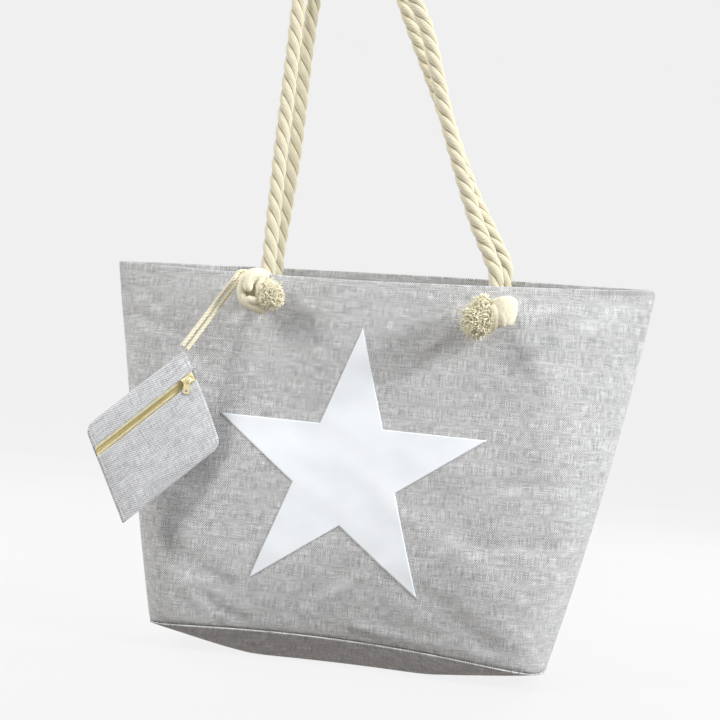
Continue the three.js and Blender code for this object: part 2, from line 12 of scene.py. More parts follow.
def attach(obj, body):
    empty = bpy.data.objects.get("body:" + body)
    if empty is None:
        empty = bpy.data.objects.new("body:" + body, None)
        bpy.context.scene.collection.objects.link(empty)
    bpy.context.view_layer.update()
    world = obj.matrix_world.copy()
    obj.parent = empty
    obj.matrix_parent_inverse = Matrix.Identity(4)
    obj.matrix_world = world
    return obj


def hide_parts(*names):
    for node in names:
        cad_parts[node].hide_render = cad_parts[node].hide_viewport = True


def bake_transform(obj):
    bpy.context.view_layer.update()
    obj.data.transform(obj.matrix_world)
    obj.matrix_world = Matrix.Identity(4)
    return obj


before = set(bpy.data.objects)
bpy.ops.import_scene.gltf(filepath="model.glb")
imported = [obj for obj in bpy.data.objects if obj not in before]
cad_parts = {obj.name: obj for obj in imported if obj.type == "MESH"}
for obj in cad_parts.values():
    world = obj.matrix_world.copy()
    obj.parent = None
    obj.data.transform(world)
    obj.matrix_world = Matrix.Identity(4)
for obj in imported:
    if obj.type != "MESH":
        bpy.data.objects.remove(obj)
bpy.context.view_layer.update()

MM = 0.001

# ---- driving dimensions, as in the CAD model ----
HEIGHT = 395 * MM
RIM_CORNERS = (397 * MM, 403 * MM)
RIM_HALF_WIDTH = 286 * MM
BASE_HALF_WIDTH = 199 * MM
BASE_SHIFT = 4 * MM
WIDTH_BULGE = 6 * MM
RIM_HALF_DEPTH = 50 * MM
BASE_HALF_DEPTH = 88 * MM
FRONT_RIM_DIP = 12 * MM
BACK_RIM_RISE = 8 * MM
SEAM_CORNERS = (24 * MM, 16 * MM)
SEAM_RISE_AT_MIDDLE = 9 * MM
TUCK_DEPTH = 20 * MM
TUCK_REACH = 0.32
HALF_SEAM_GAP = 0.2 * MM
CLOTH = 1.6 * MM
GAP = 0.3 * MM
LINING_INSET = 2.2 * MM
LINING_THICK = 1.0 * MM
FACING_THICK = 1.2 * MM
FACING_FROM = 0.88
FLAT_PATCH = 0.5
BASE_CURVE = 1.3
STAR_RADIUS = 143.5 * MM
STAR_WAIST = 0.382
STAR_X = -3 * MM
STAR_Z = 195 * MM
STAR_TURN = -0.018
FILM = 0.4 * MM
ROPE_RADIUS = 8 * MM
EYELET_BELOW_RIM = (25 * MM, 31 * MM)
EYELET_BORE = 8.8 * MM
EYELET_BARREL = 9.6 * MM
EYELET_FLANGE = 13 * MM
EYELET_HOLE = 10 * MM
ROPE_INSIDE = 19.5 * MM
TURN_AFTER = 5 * MM
HINGE_ABOVE_RIM = 2.8 * MM
FRONT, BACK = -1, 1
SIDES = {"front": FRONT, "back": BACK}
HANDLE_X = {"front": (-113 * MM, 129 * MM), "back": (-119 * MM, 134 * MM)}
HANDLE_ROUTE = {
    "front": [(-112.5, -18, 520), (-110, -12.6, 640), (-109, -11.2, 690), (-103.5, -10.4, 723),
              (-86, -10, 750), (-55, -9.8, 762), (-24, -10, 752), (-3, -10.6, 728),
              (12, -11.4, 698), (30, -12.4, 663), (62, -15.5, 562), (98, -20, 466)],
    "back": [(-107, 19, 520), (-102, 13.2, 640), (-99, 11.4, 686), (-94, 10.6, 716),
             (-78, 10, 742), (-54, 9.8, 753), (-28, 10, 743), (-9, 10.6, 718),
             (5, 11.6, 686), (48, 15, 592), (90, 18.6, 496)],
}


# ---- camera ----
def unit(v):
    v = np.asarray(v, float)
    return v / np.linalg.norm(v)


CAMERA_AZIMUTH = math.radians(10.5)  # to the right of straight on
CAMERA_ELEVATION = math.radians(-3.0)
CAMERA_ROLL = math.radians(5.0)
CAMERA_DISTANCE = 1.422
CAMERA_TARGET = Vector((-0.011, 0.0, 0.3095))
CAMERA_LENS = 67.75  # millimetres, on a sensor 36 mm wide


def add_camera():
    azimuth, elevation, roll = CAMERA_AZIMUTH, CAMERA_ELEVATION, CAMERA_ROLL
    back = Vector((math.sin(azimuth) * math.cos(elevation),
                   -math.cos(azimuth) * math.cos(elevation), math.sin(elevation)))
    right = Vector((math.cos(azimuth), math.sin(azimuth), 0.0))
    up = back.cross(right)
    side = right * math.cos(roll) + up * math.sin(roll)
    top = up * math.cos(roll) - right * math.sin(roll)
    camera = bpy.data.objects.new("camera", bpy.data.cameras.new("camera"))
    camera.data.lens = CAMERA_LENS
    camera.data.sensor_width = 36
    camera.data.clip_start = 0.01
    axes = Matrix((side, top, back)).transposed().to_4x4()
    camera.matrix_world = Matrix.Translation(CAMERA_TARGET + back * CAMERA_DISTANCE) @ axes
    bpy.context.scene.collection.objects.link(camera)
    bpy.context.scene.camera = camera


add_camera()


# ---- meshes ----
def new_piece(name, points, faces, material, uv=None, smooth=True):
    mesh = bpy.data.meshes.new(name)
    mesh.from_pydata([tuple(p) for p in np.asarray(points, float)], [], [tuple(f) for f in faces])
    if uv is not None:
        layer = mesh.uv_layers.new(name="cloth")
        corners = np.zeros(len(mesh.loops), int)
        mesh.loops.foreach_get("vertex_index", corners)
        layer.data.foreach_set("uv", np.asarray(uv, float)[corners].ravel())
    mesh.polygons.foreach_set("use_smooth", [smooth] * len(mesh.polygons))
    mesh.update()
    piece = bpy.data.objects.new(name, mesh)
    bpy.context.scene.collection.objects.link(piece)
    mesh.materials.append(material)
    return piece


def settle(piece, body, nodes=()):
    """The piece rides on its body and stands for its CAD nodes, which are hidden."""
    if body:
        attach(piece, body)
    if nodes:
        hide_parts(*nodes)
    return piece


def cells(rows, columns, start=0):
    """The quads of a grid whose points are numbered row by row."""
    r, c = np.meshgrid(np.arange(rows - 1), np.arange(columns - 1), indexing="ij")
    first = (start + r * columns + c).reshape(-1, 1)
    return first + np.array([0, 1, columns + 1, columns])


def closed_sheet(outer, inner, holes=None):
    """Points and quads of a thin solid between two grids of shape (rows, columns, 3). Cells that the
    mask holes marks are left out of both grids, and every open edge is closed by a rim."""
    rows, columns = outer.shape[:2]
    count = rows * columns
    keep = np.ones((rows - 1, columns - 1), bool) if holes is None else ~holes
    quads = cells(rows, columns)[keep.ravel()]
    faces = [*quads, *(quads[:, ::-1] + count)]
    padded = np.zeros((rows + 1, columns + 1), bool)
    padded[1:-1, 1:-1] = keep
    for r, c in np.argwhere(keep):
        a, b = r * columns + c, r * columns + c + 1
        d, e = a + columns, b + columns
        for neighbour, (p, q) in (
            (padded[r, c + 1], (a, b)), (padded[r + 1, c + 2], (b, e)),
            (padded[r + 2, c + 1], (e, d)), (padded[r + 1, c], (d, a)),
        ):
            if not neighbour:
                faces.append((q, p, p + count, q + count))
    return np.concatenate([outer.reshape(-1, 3), inner.reshape(-1, 3)]), faces


def twice(marks):
    """The marks of a sheet's points: its two sides have the same ones."""
    return np.concatenate([marks.reshape(-1, 2)] * 2)


def lengths_along(line):
    """How far along the line each of its points is."""
    return np.concatenate([[0], np.cumsum(np.linalg.norm(np.diff(line, axis=0), axis=1))])


def path_frames(path):
    """The direction of the path at each point, with two directions across it that don't spin."""
    tangents = np.gradient(path, axis=0)
    tangents /= np.linalg.norm(tangents, axis=1)[:, None]
    side = unit(np.cross(tangents[0], [0.31, 0.92, 0.24]))
    sides = []
    for tangent in tangents:
        side = unit(side - tangent * (side @ tangent))
        sides.append(side)
    sides = np.array(sides)
    return tangents, sides, np.cross(tangents, sides)


def ring_faces(rings, around):
    """The quads between rings of points, numbered ring by ring, each closed on itself."""
    faces = []
    for i in range(rings - 1):
        for k in range(around):
            a, b = i * around + k, i * around + (k + 1) % around
            faces.append((a, b, b + around, a + around))
    return faces


def turned(quads):
    """The same quads, facing the other way."""
    return [(a, d, c, b) for a, b, c, d in quads]


def joined(parts):
    """The points and faces of several meshes as one."""
    points, faces, start = [], [], 0
    for part_points, part_faces in parts:
        faces.extend(tuple(np.array(f) + start) for f in part_faces)
        points.append(part_points)
        start += len(part_points)
    return np.concatenate(points), faces


def tube_mesh(line, radius, around=5):
    """A round tube along a line. Its radius may change from point to point."""
    _, first, second = path_frames(line)
    angles = np.arange(around) * 2 * math.pi / around
    rings = (np.cos(angles)[None, :, None] * first[:, None]
             + np.sin(angles)[None, :, None] * second[:, None])
    points = line[:, None] + np.broadcast_to(radius, len(line))[:, None, None] * rings
    faces = ring_faces(len(line), around)
    last = (len(line) - 1) * around
    faces.append(tuple(range(around))[::-1])
    faces.append(tuple(last + k for k in range(around)))
    return points.reshape(-1, 3), faces


# ---- the shape of the walls ----
def mix(a, b, share):
    return a + (b - a) * share


def smoothstep(low, high, value):
    t = np.clip((value - low) / (high - low), 0, 1)
    return t * t * (3 - 2 * t)


def between(ends, s):
    return mix(ends[0], ends[1], (s + 1) / 2)


def seam_height(s):
    return between(SEAM_CORNERS, s) + SEAM_RISE_AT_MIDDLE * (1 - s * s)


def rim_height(side, s):
    change = -FRONT_RIM_DIP if side == FRONT else BACK_RIM_RISE
    return between(RIM_CORNERS, s) + change * (1 - s * s)


def height_share(z):
    return np.clip(z / HEIGHT, 0, 1)


def half_width(z):
    share = height_share(z)
    return mix(BASE_HALF_WIDTH, RIM_HALF_WIDTH, share) + 4 * WIDTH_BULGE * share * (1 - share)


def middle_of(z):
    """The bag's middle line leans a little: how far to the right it is at z."""
    return BASE_SHIFT * (1 - height_share(z))


def outline(side, s, z, inset):
    share = height_share(z)
    depth = mix(BASE_HALF_DEPTH, RIM_HALF_DEPTH, share) - inset
    fullness = (1 - np.abs(s) ** mix(10, 2, share)) ** (1 / mix(3, 1, share))
    return np.stack([middle_of(z) + (half_width(z) - inset) * s,
                     side * (HALF_SEAM_GAP + depth * fullness), z + 0 * s], -1)


def tuck(s, row):
    middle = 1 - s * s
    reach = np.maximum(TUCK_REACH * middle, 1e-6)
    return TUCK_DEPTH * middle * np.maximum(1 - row / reach, 0) ** 2


def waves(seed, count, shortest, longest, x, z):
    """Gentle waves of mixed direction. Each one's height is in step with its length, and they sum to
    about one at the longest."""
    rng = np.random.default_rng(seed)
    total = 0
    for _ in range(count):
        length = rng.uniform(shortest, longest)
        turn, phase = rng.uniform(0, 2 * math.pi, 2)
        total = total + (length / longest) * np.sin(
            2 * math.pi * (x * math.cos(turn) + z * math.sin(turn)) / length + phase)
    return total / math.sqrt(count)


# Folds and creases of the walls, in millimetres: where each starts and ends in x and z, its half
# width, its height outwards, and how much steeper its upper side is.
FOLDS = {
    FRONT: [
        (-262, 372, -196, 312, 15, -2.2, 0.6), (-255, 335, -204, 318, 6, -2.2, 0.9),
        (-240, 300, -214, 200, 22, 2.0, 0.0), (-90, 368, -60, 250, 26, -1.6, 0.0),
        (-118, 352, -176, 250, 20, 0.9, 0.3), (54, 306, 88, 340, 7, 1.0, 0.8),
        (150, 352, 184, 300, 10, 1.4, 0.5), (168, 372, 254, 392, 6, -2.0, 0.4),
        (182, 346, 246, 376, 9, -3.2, 0.7), (176, 318, 262, 384, 13, 3.2, -0.4),
        (160, 191, 240, 197, 5, -0.8, 1.0), (140, 131, 236, 139, 5, -0.65, 1.0),
        (196, 250, 236, 120, 24, 2.4, 0.0), (-8, 66, 36, 98, 5, 1.0, 0.6),
        (-40, 54, 8, 92, 6, -1.2, 0.4), (-114, 30, -98, 62, 4.5, 1.9, 0.7),
        (-128, 52, -84, 26, 5, -1.5, 0.5), (28, 38, 84, 30, 4.5, 1.4, 0.9),
        (96, 74, 150, 40, 9, -1.6, 0.3), (-60, 250, 70, 262, 30, -1.2, 0.0),
        (-180, 96, -120, 70, 9, -1.4, 0.6), (60, 150, 130, 108, 12, 1.2, 0.4),
    ],
    BACK: [
        (-236, 368, -180, 300, 12, -2.6, 0.5), (-214, 205, -132, 190, 6, -1.9, 0.8),
        (-110, 340, -60, 240, 24, -1.8, 0.0), (120, 350, 178, 262, 14, 1.8, 0.4),
        (190, 366, 252, 330, 8, -2.4, 0.6), (150, 160, 228, 172, 6, -1.8, 0.9),
        (-60, 70, 20, 104, 7, 1.6, 0.6), (40, 44, 120, 62, 6, -1.6, 0.6),
        (-150, 60, -90, 40, 6, 1.6, 0.7), (-20, 300, 60, 200, 30, 1.6, 0.0),
        (200, 240, 214, 110, 20, 2.2, 0.0), (-222, 280, -196, 150, 20, 2.0, 0.0),
    ],
}
FOLD_SCALE = 1.35
WAVE_HEIGHT = 1.2 * MM
CRINKLE_HEIGHT = 0.22 * MM
HEM_DEPTH = 7 * MM  # from the rim down to the hem's stitches
HEM_STITCH = 3.1 * MM
HEM_STITCH_GAP = 1.1 * MM


def relief(side, x, z):
    """How far the cloth stands out of its smooth shape at x and z."""
    total = np.zeros(np.broadcast(x, z).shape)
    for x0, z0, x1, z1, width, height, skew in FOLDS[side]:
        start = np.array([x0, z0]) * MM
        run = np.array([x1, z1]) * MM - start
        long = np.linalg.norm(run)
        along = ((x - start[0]) * run[0] + (z - start[1]) * run[1]) / long
        across = ((z - start[1]) * run[0] - (x - start[0]) * run[1]) / long
        beyond = np.maximum(np.maximum(-along, along - long), 0)
        q = across / (width * MM)
        fade = np.exp(-0.5 * (beyond / (2.2 * width * MM)) ** 2)
        total = total + FOLD_SCALE * height * MM * fade * np.exp(-0.5 * q * q) * (1 + skew * q)
    total = total + WAVE_HEIGHT * waves(5 + side, 14, 60 * MM, 210 * MM, x, z)
    total = total + CRINKLE_HEIGHT * waves(15 + side, 16, 14 * MM, 44 * MM, x, z)
    for end in (0, 1):
        hole = eyelet_frame(side, end)["origin"]
        far = np.hypot(x - hole[0], z - hole[2])
        total = total * smoothstep(14 * MM, 42 * MM, far)
    return total


def wall_point(side, s, row, inset, lift=0.0):
    """The wall at s, from -1 to 1 across, and row, from 0 at the bottom seam to 1 at the rim."""
    s, row = np.broadcast_arrays(np.asarray(s, float), np.asarray(row, float))
    z = mix(seam_height(s), rim_height(side, s), row)
    points = outline(side, s, z, inset)
    x = middle_of(z) + half_width(z) * s
    edge = smoothstep(0, 0.12, 1 - np.abs(s))
    points[..., 1] -= side * tuck(s, row)
    hem = -0.5 * MM * np.exp(-(((1 - row) * HEIGHT - HEM_DEPTH) / (1.3 * MM)) ** 2)
    edge = edge * smoothstep(0, 0.05, row)
    points[..., 1] += side * (edge * relief(side, x, z) + hem + lift)
    return points


def eyelet_frame(side, end):
    """A wall's left (0) or right (1) eyelet: the middle of its hole on the smooth wall, and the
    directions out, up and across."""
    x = HANDLE_X["front" if side == FRONT else "back"][end]
    z = rim_height(side, x / RIM_HALF_WIDTH) - EYELET_BELOW_RIM[end]

    def at(px, pz):
        return outline(side, np.float64(px - middle_of(pz)) / half_width(pz), pz, 0.0)

    across = unit(at(x + MM, z) - at(x - MM, z))
    up = unit(at(x, z + MM) - at(x, z - MM))
    out = unit(np.cross(across, up))
    if out[1] * side < 0:
        out = -out
    return {"origin": at(x, z), "out": out, "up": up, "across": across}


# ---- materials ----
def new_material(name):
    material = bpy.data.materials.new(name)
    material.use_nodes = True
    tree = material.node_tree
    return material, tree.nodes["Principled BSDF"], Nodes(tree)


class Nodes:
    """Small helper that adds nodes to a tree and links them."""

    def __init__(self, tree):
        self.tree = tree

    def add(self, kind, inputs=(), **settings):
        node = self.tree.nodes.new(kind)
        for key, value in settings.items():
            setattr(node, key, value)
        for key, value in dict(inputs).items():
            self.put(node.inputs[key], value)
        return node

    def put(self, socket, value):
        if isinstance(value, bpy.types.NodeSocket):
            self.tree.links.new(value, socket)
        else:
            socket.default_value = value

    def math(self, operation, a, b=0.0, c=0.0):
        node = self.add("ShaderNodeMath", operation=operation)
        for socket, value in zip(node.inputs, (a, b, c)):
            self.put(socket, value)
        return node.outputs[0]

    def times(self, a, b):
        return self.math("MULTIPLY", a, b)

    def plus(self, a, b):
        return self.math("ADD", a, b)

    def place(self):
        return self.add("ShaderNodeTexCoord").outputs["Object"]

    def uv(self):
        return self.add("ShaderNodeUVMap", uv_map="cloth").outputs["UV"]

    def split(self, vector):
        node = self.add("ShaderNodeSeparateXYZ", {0: vector})
        return node.outputs[0], node.outputs[1]

    def join(self, x, y, z=0.0):
        return self.add("ShaderNodeCombineXYZ", {0: x, 1: y, 2: z}).outputs[0]

    def noise(self, vector, scale, detail=2.0, roughness=0.5):
        return self.add("ShaderNodeTexNoise", {"Vector": vector, "Scale": scale, "Detail": detail,
                                               "Roughness": roughness}).outputs["Fac"]

    def ramp(self, value, *stops):
        node = self.add("ShaderNodeValToRGB", {"Fac": value})
        elements = node.color_ramp.elements
        while len(elements) < len(stops):
            elements.new(0.5)
        for element, (position, colour) in zip(elements, stops):
            element.position = position
            element.color = (*colour, 1.0)
        return node.outputs["Color"]

    def blend(self, share, a, b, mode="MIX"):
        node = self.add("ShaderNodeMix", data_type="RGBA", blend_type=mode)
        self.put(node.inputs[0], share)
        self.put(node.inputs[6], a)
        self.put(node.inputs[7], b)
        return node.outputs[2]

    def bump(self, height, strength, distance):
        node = self.add("ShaderNodeBump", {"Height": height, "Strength": strength,
                                           "Distance": distance})
        return node.outputs["Normal"]


def colour(r, g, b):
    """An sRGB colour, each part from 0 to 255, as linear values."""
    return tuple(((c / 255 + 0.055) / 1.055) ** 2.4 for c in (r, g, b))


def fabric(shader, roughness, sheen):
    shader.inputs["Roughness"].default_value = roughness
    shader.inputs["Specular IOR Level"].default_value = 0.25
    shader.inputs["Sheen Weight"].default_value = sheen
    shader.inputs["Sheen Roughness"].default_value = 0.5


def woven_material(name, pitch, dark, middle, light, contrast, checks=0.3, depth=0.5):
    """A plain weave of pale warp over darker weft. Each yarn has slubs, and light and dark
    stretches of its own."""
    material, shader, n = new_material(name)
    u, v = n.split(n.uv())
    wander = n.math("MULTIPLY_ADD", n.noise(n.join(u, v), 14.0, 1.0), 2.6 * pitch, -1.3 * pitch)
    warp = n.math("DIVIDE", n.plus(u, wander), pitch)
    weft = n.math("DIVIDE", n.math("SUBTRACT", v, wander), pitch)
    over = n.times(n.math("SINE", n.times(warp, math.pi)),
                  n.math("SINE", n.times(weft, math.pi)))
    warp_on_top = n.math("GREATER_THAN", over, 0.0)
    warp_tone = n.noise(n.join(n.math("FLOOR", warp), n.times(v, 60.0)), 1.0, 2.0, 0.7)
    weft_tone = n.noise(n.join(n.times(u, 60.0), n.math("FLOOR", weft), 7.3),
                        1.0, 2.0, 0.7)
    tone = n.add("ShaderNodeMix", data_type="FLOAT")
    for socket, value in zip(tone.inputs[:1] + tone.inputs[2:4],
                             (warp_on_top, weft_tone, warp_tone)):
        n.put(socket, value)
    own = n.math("MULTIPLY_ADD", n.math("SUBTRACT", tone.outputs[0], 0.5), contrast, 0.5)
    tone = n.plus(own, n.times(over, checks))
    yarn = n.ramp(tone, (0.15, dark), (0.5, middle), (0.85, light))
    patches = n.noise(n.join(u, n.times(v, 2.5)), 16.0, 4.0, 0.6)
    patches = n.ramp(patches, (0.3, (0.93, 0.93, 0.93)), (0.7, (1.0, 1.0, 1.0)))
    n.put(shader.inputs["Base Color"], n.blend(1.0, yarn, patches, "MULTIPLY"))
    height = n.plus(n.math("ABSOLUTE", over), n.times(own, 0.8))
    n.put(shader.inputs["Normal"], n.bump(height, depth, 0.35 * pitch))
    fabric(shader, 0.88, 0.2)
    return material


FILM_WEAVE = 1.1 * MM  # the cloth's weave, showing through the star
TWILL = 0.9 * MM  # from one slanted line of the zip tape to the next


def film_material():
    material, shader, n = new_material("star film")
    u, v = n.split(n.uv())
    weave = n.times(n.math("SINE", n.times(u, math.pi / FILM_WEAVE)),
                   n.math("SINE", n.times(v, math.pi / FILM_WEAVE)))
    cloud = n.noise(n.join(u, v), 30.0, 3.0)
    n.put(shader.inputs["Base Color"],
          n.ramp(cloud, (0.3, colour(224, 228, 232)), (0.7, colour(229, 232, 236))))
    n.put(shader.inputs["Normal"], n.bump(n.plus(weave, n.times(cloud, 3.0)),
                                          0.12, 0.0004))
    shader.inputs["Roughness"].default_value = 0.46
    shader.inputs["Specular IOR Level"].default_value = 0.35
    return material


def rope_material(name, radius, yarns, light, dark, groove_shade):
    """Twisted cotton, with painted shade in the grooves between its strands. U runs round the rope,
    one unit a strand, and V along it in metres.
    """
    material, shader, n = new_material(name)
    u, v = n.split(n.uv())
    slant = n.plus(n.times(u, yarns), n.times(v, 0.55 / radius))
    wobble = n.times(n.noise(n.join(n.times(u, 2.0),
                                               n.times(v, 60.0)), 1.0, 2.0), 1.3)
    slant = n.plus(slant, wobble)
    ridges = n.math("ABSOLUTE", n.math("SINE", n.times(slant, math.pi)))
    fibre = n.noise(n.join(n.times(slant, 5.0), n.times(v, 120.0)), 1.0, 3.0)
    within = n.math("ABSOLUTE", n.math("SUBTRACT", n.math("FRACT", u), 0.5))
    crown = n.math("SUBTRACT", 1.0, n.times(within, 2.0))  # nought in the grooves
    tone = n.plus(n.times(ridges, 0.45), n.times(fibre, 0.75))
    yarn = n.ramp(tone, (0.15, dark), (0.75, light))
    # painted shade: the grooves between the strands are darkened to the material's last colour
    groove = n.ramp(crown, (0.02, groove_shade), (0.2, (1, 1, 1)))
    n.put(shader.inputs["Base Color"], n.blend(1.0, yarn, groove, "MULTIPLY"))
    height = n.plus(ridges, n.times(fibre, 1.4))
    n.put(shader.inputs["Normal"], n.bump(height, 0.8, 0.06 * radius))
    fabric(shader, 0.92, 0.35)
    return material


def fibre_material(name, dark, light):
    """Cotton with small soft changes of tone, for loose yarns and for the knots."""
    material, shader, n = new_material(name)
    place = n.place()
    tone = n.noise(place, 420.0, 3.0, 0.6)
    n.put(shader.inputs["Base Color"], n.ramp(tone, (0.3, dark), (0.62, light)))
    n.put(shader.inputs["Normal"], n.bump(n.noise(place, 1500.0, 2.0), 0.4, 0.0003))
    fabric(shader, 0.92, 0.4)
    return material


def metal_material(name, tone, roughness):
    material, shader, n = new_material(name)
    place = n.place()
    wear = n.noise(place, 900.0, 3.0)
    n.put(shader.inputs["Base Color"],
          n.ramp(wear, (0.35, tuple(c * 0.86 for c in tone)), (0.65, tone)))
    n.put(shader.inputs["Roughness"],
          n.math("MULTIPLY_ADD", wear, 0.2, roughness - 0.1))
    n.put(shader.inputs["Normal"], n.bump(wear, 0.08, 0.0002))
    shader.inputs["Metallic"].default_value = 1.0
    return material


def tape_material():
    """Cream zip tape with the fine slanted lines of its twill."""
    material, shader, n = new_material("zip tape")
    u, v = n.split(n.uv())
    twill = n.math("SINE", n.times(n.plus(u, v), 2 * math.pi / TWILL))
    tone = n.plus(n.times(twill, 0.2), n.noise(n.join(u, v), 300.0, 2.0))
    n.put(shader.inputs["Base Color"],
          n.ramp(tone, (0.3, colour(228, 214, 160)), (0.75, colour(250, 240, 204))))
    n.put(shader.inputs["Normal"], n.bump(twill, 0.5, 0.0002))
    fabric(shader, 0.8, 0.2)
    return material


def plain_material(name, tone, roughness, grain):
    material, shader, n = new_material(name)
    place = n.place()
    speckle = n.noise(place, grain, 2.0)
    n.put(shader.inputs["Base Color"],
          n.ramp(speckle, (0.3, tuple(c * 0.82 for c in tone)), (0.7, tone)))
    n.put(shader.inputs["Normal"], n.bump(speckle, 0.15, 0.0002))
    shader.inputs["Roughness"].default_value = roughness
    return material


LINEN = woven_material("bag linen", 1.15 * MM, colour(111, 111, 111), colour(180, 180, 180),
                       colour(244, 245, 246), 1.25, 0.26)
POUCH_LINEN = woven_material("pouch linen", 1.1 * MM, colour(126, 127, 129),
                             colour(194, 195, 197), colour(246, 247, 249), 1.2, 0.36)
LINING = woven_material("lining", 0.5 * MM, colour(186, 178, 160), colour(205, 198, 182),
                        colour(220, 214, 200), 0.6, depth=0.25)
FILM_WHITE = film_material()
# The last colour of each rope is painted shade for the grooves between its strands.
ROPE = rope_material("rope cotton", ROPE_RADIUS, 5.0, colour(219, 212, 187), colour(200, 192, 164),
                     (0.42, 0.38, 0.30))
CORD = rope_material("cord cotton", 2 * MM, 2.0, colour(238, 231, 204), colour(206, 197, 162),
                     (0.55, 0.50, 0.40))
# Two copies of one cotton: the loose yarns' copy is lighter, painted light against the shade they cast
# on one another, and the knots' copy is darker, painted shade.
LIT_FIBRE = fibre_material("cotton fibre", colour(230, 223, 194), colour(245, 240, 217))
SHADED_KNOT_COTTON = fibre_material("knot cotton", colour(216, 208, 180), colour(234, 228, 204))
EYELET_METAL = metal_material("satin nickel", colour(196, 194, 188), 0.32)
ZIP_METAL = metal_material("pale brass", colour(232, 220, 176), 0.42)
ZIP_TAPE = tape_material()
ZIP_COIL = plain_material("zip coil nylon", colour(218, 203, 146), 0.5, 2500.0)
THREAD = plain_material("grey thread", colour(214, 214, 212), 0.8, 4000.0)


# ---- the bag's cloth ----
COLUMNS = 210
ROWS = 130
HEM_RADIUS = 1.7 * MM


def columns(side, count=COLUMNS):
    """s across the wall from left to right as seen from outside, closer together at the seams."""
    return -side * np.sin(np.linspace(-math.pi / 2, math.pi / 2, count))


def cloth_uv(side, s, row):
    """Where a point lies on the flat cloth, in metres. Across, it is the length along the wall
    from its middle."""
    s, row = np.broadcast_arrays(np.asarray(s, float), np.asarray(row, float))
    low, high = seam_height(s), rim_height(side, s)
    wall = outline(side, s, mix(low, high, np.minimum(row, 1)), 0.0)
    across = np.cumsum(np.linalg.norm(np.diff(wall, axis=-2, prepend=wall[..., :1, :]), axis=-1),
                       axis=-1)
    across -= across[..., -1:] / 2
    return np.stack([-side * across, mix(low, high, row)], -1)


def seam_roll(s, row):
    """The cloth turns in towards its bottom and side seams."""
    near_side = np.exp(-(1 - np.abs(s)) / 0.004)
    near_base = np.exp(-row / 0.006)
    return -1.3 * MM * np.maximum(near_side * 0.4, near_base)


def wall_cloth(name, side):
    """The outer cloth: up the wall, over the rim as a rolled hem, and down inside as the facing."""
    s = columns(side)[None, :]
    hem = HEM_RADIUS / HEIGHT
    rows = np.concatenate([np.linspace(0, 0.02, 6)[:-1], np.linspace(0.02, 1 - hem, ROWS)])
    outer = [wall_point(side, s, rows[:, None], 0.0, seam_roll(s, rows[:, None]))]
    inner = [wall_point(side, s, rows[:, None], CLOTH)]
    marks = [cloth_uv(side, s, rows[:, None])]
    top = 1 - hem
    for angle in np.linspace(0, math.pi, 7)[1:-1]:
        rise = top + hem * math.sin(angle)
        outer.append(wall_point(side, s, rise, HEM_RADIUS * (1 - math.cos(angle)))[None, 0])
        low = top + 0.1 * hem * math.sin(angle)
        inner.append(wall_point(side, s, low, CLOTH + 0.3 * MM * (angle / math.pi))[None, 0])
        marks.append(cloth_uv(side, s, top + hem * angle)[None, 0])
    down = np.linspace(top, FACING_FROM + 0.004, 16)
    outer.append(wall_point(side, s, down[:, None], LINING_INSET + FACING_THICK))
    inner.append(wall_point(side, s, down[:, None], LINING_INSET))
    marks.append(cloth_uv(side, s, 2 * top + 3 * hem - down[:, None]))
    outer, inner = np.concatenate(outer), np.concatenate(inner)
    marks = np.concatenate(marks)
    holes = np.zeros((len(outer) - 1, outer.shape[1] - 1), bool)
    middles = (outer[1:, 1:] + outer[:-1, 1:] + outer[1:, :-1] + outer[:-1, :-1]) / 4
    for end in (0, 1):
        eyelet = eyelet_frame(side, end)
        away = middles - eyelet["origin"]
        across = away - (away @ eyelet["out"])[..., None] * eyelet["out"]
        holes |= np.linalg.norm(across, axis=-1) < EYELET_HOLE
    points, faces = closed_sheet(outer, inner, holes)
    points, faces, uv = drop_loose(points, faces, twice(marks))
    piece = new_piece(f"{name}_cloth", points, faces, LINEN, uv)
    return settle(piece, "bag", [f"{name}_panel", f"{name}_facing"])


def drop_loose(points, faces, uv):
    """Leaves out points that no face uses."""
    used = np.zeros(len(points), bool)
    used[np.concatenate([np.asarray(f) for f in faces])] = True
    number = np.cumsum(used) - 1
    return points[used], [tuple(number[list(f)]) for f in faces], uv[used]


def wall_lining(name, side):
    s = columns(side, 120)[None, :]
    rows = np.linspace(0.0, FACING_FROM - 0.004, 70)[:, None]
    z = mix(seam_height(s), rim_height(side, s), rows)
    x = middle_of(z) + half_width(z) * s
    crumple = 0.9 * MM * (waves(31 + side, 18, 26 * MM, 90 * MM, x, z) - 1.2)
    crumple = crumple * smoothstep(0, 0.1, 1 - np.abs(s)) * smoothstep(0, 0.1, rows)
    outer = wall_point(side, s, rows, LINING_INSET, crumple)
    inner = wall_point(side, s, rows, LINING_INSET + LINING_THICK, crumple)
    points, faces = closed_sheet(outer, inner)
    marks = twice(cloth_uv(side, s, rows))
    piece = new_piece(f"{name}_lining_cloth", points, faces, LINING, marks)
    return settle(piece, "bag", [f"{name}_lining"])


def base_edge(count):
    """The base's seam line, all the way round, from the left end along the front."""
    half = count // 2
    s = np.sin(np.linspace(-math.pi / 2, math.pi / 2, half + 1)[:-1])
    front = wall_point(FRONT, s, 0.0, 0.0)
    back = wall_point(BACK, -s, 0.0, 0.0)
    return np.concatenate([front, back])


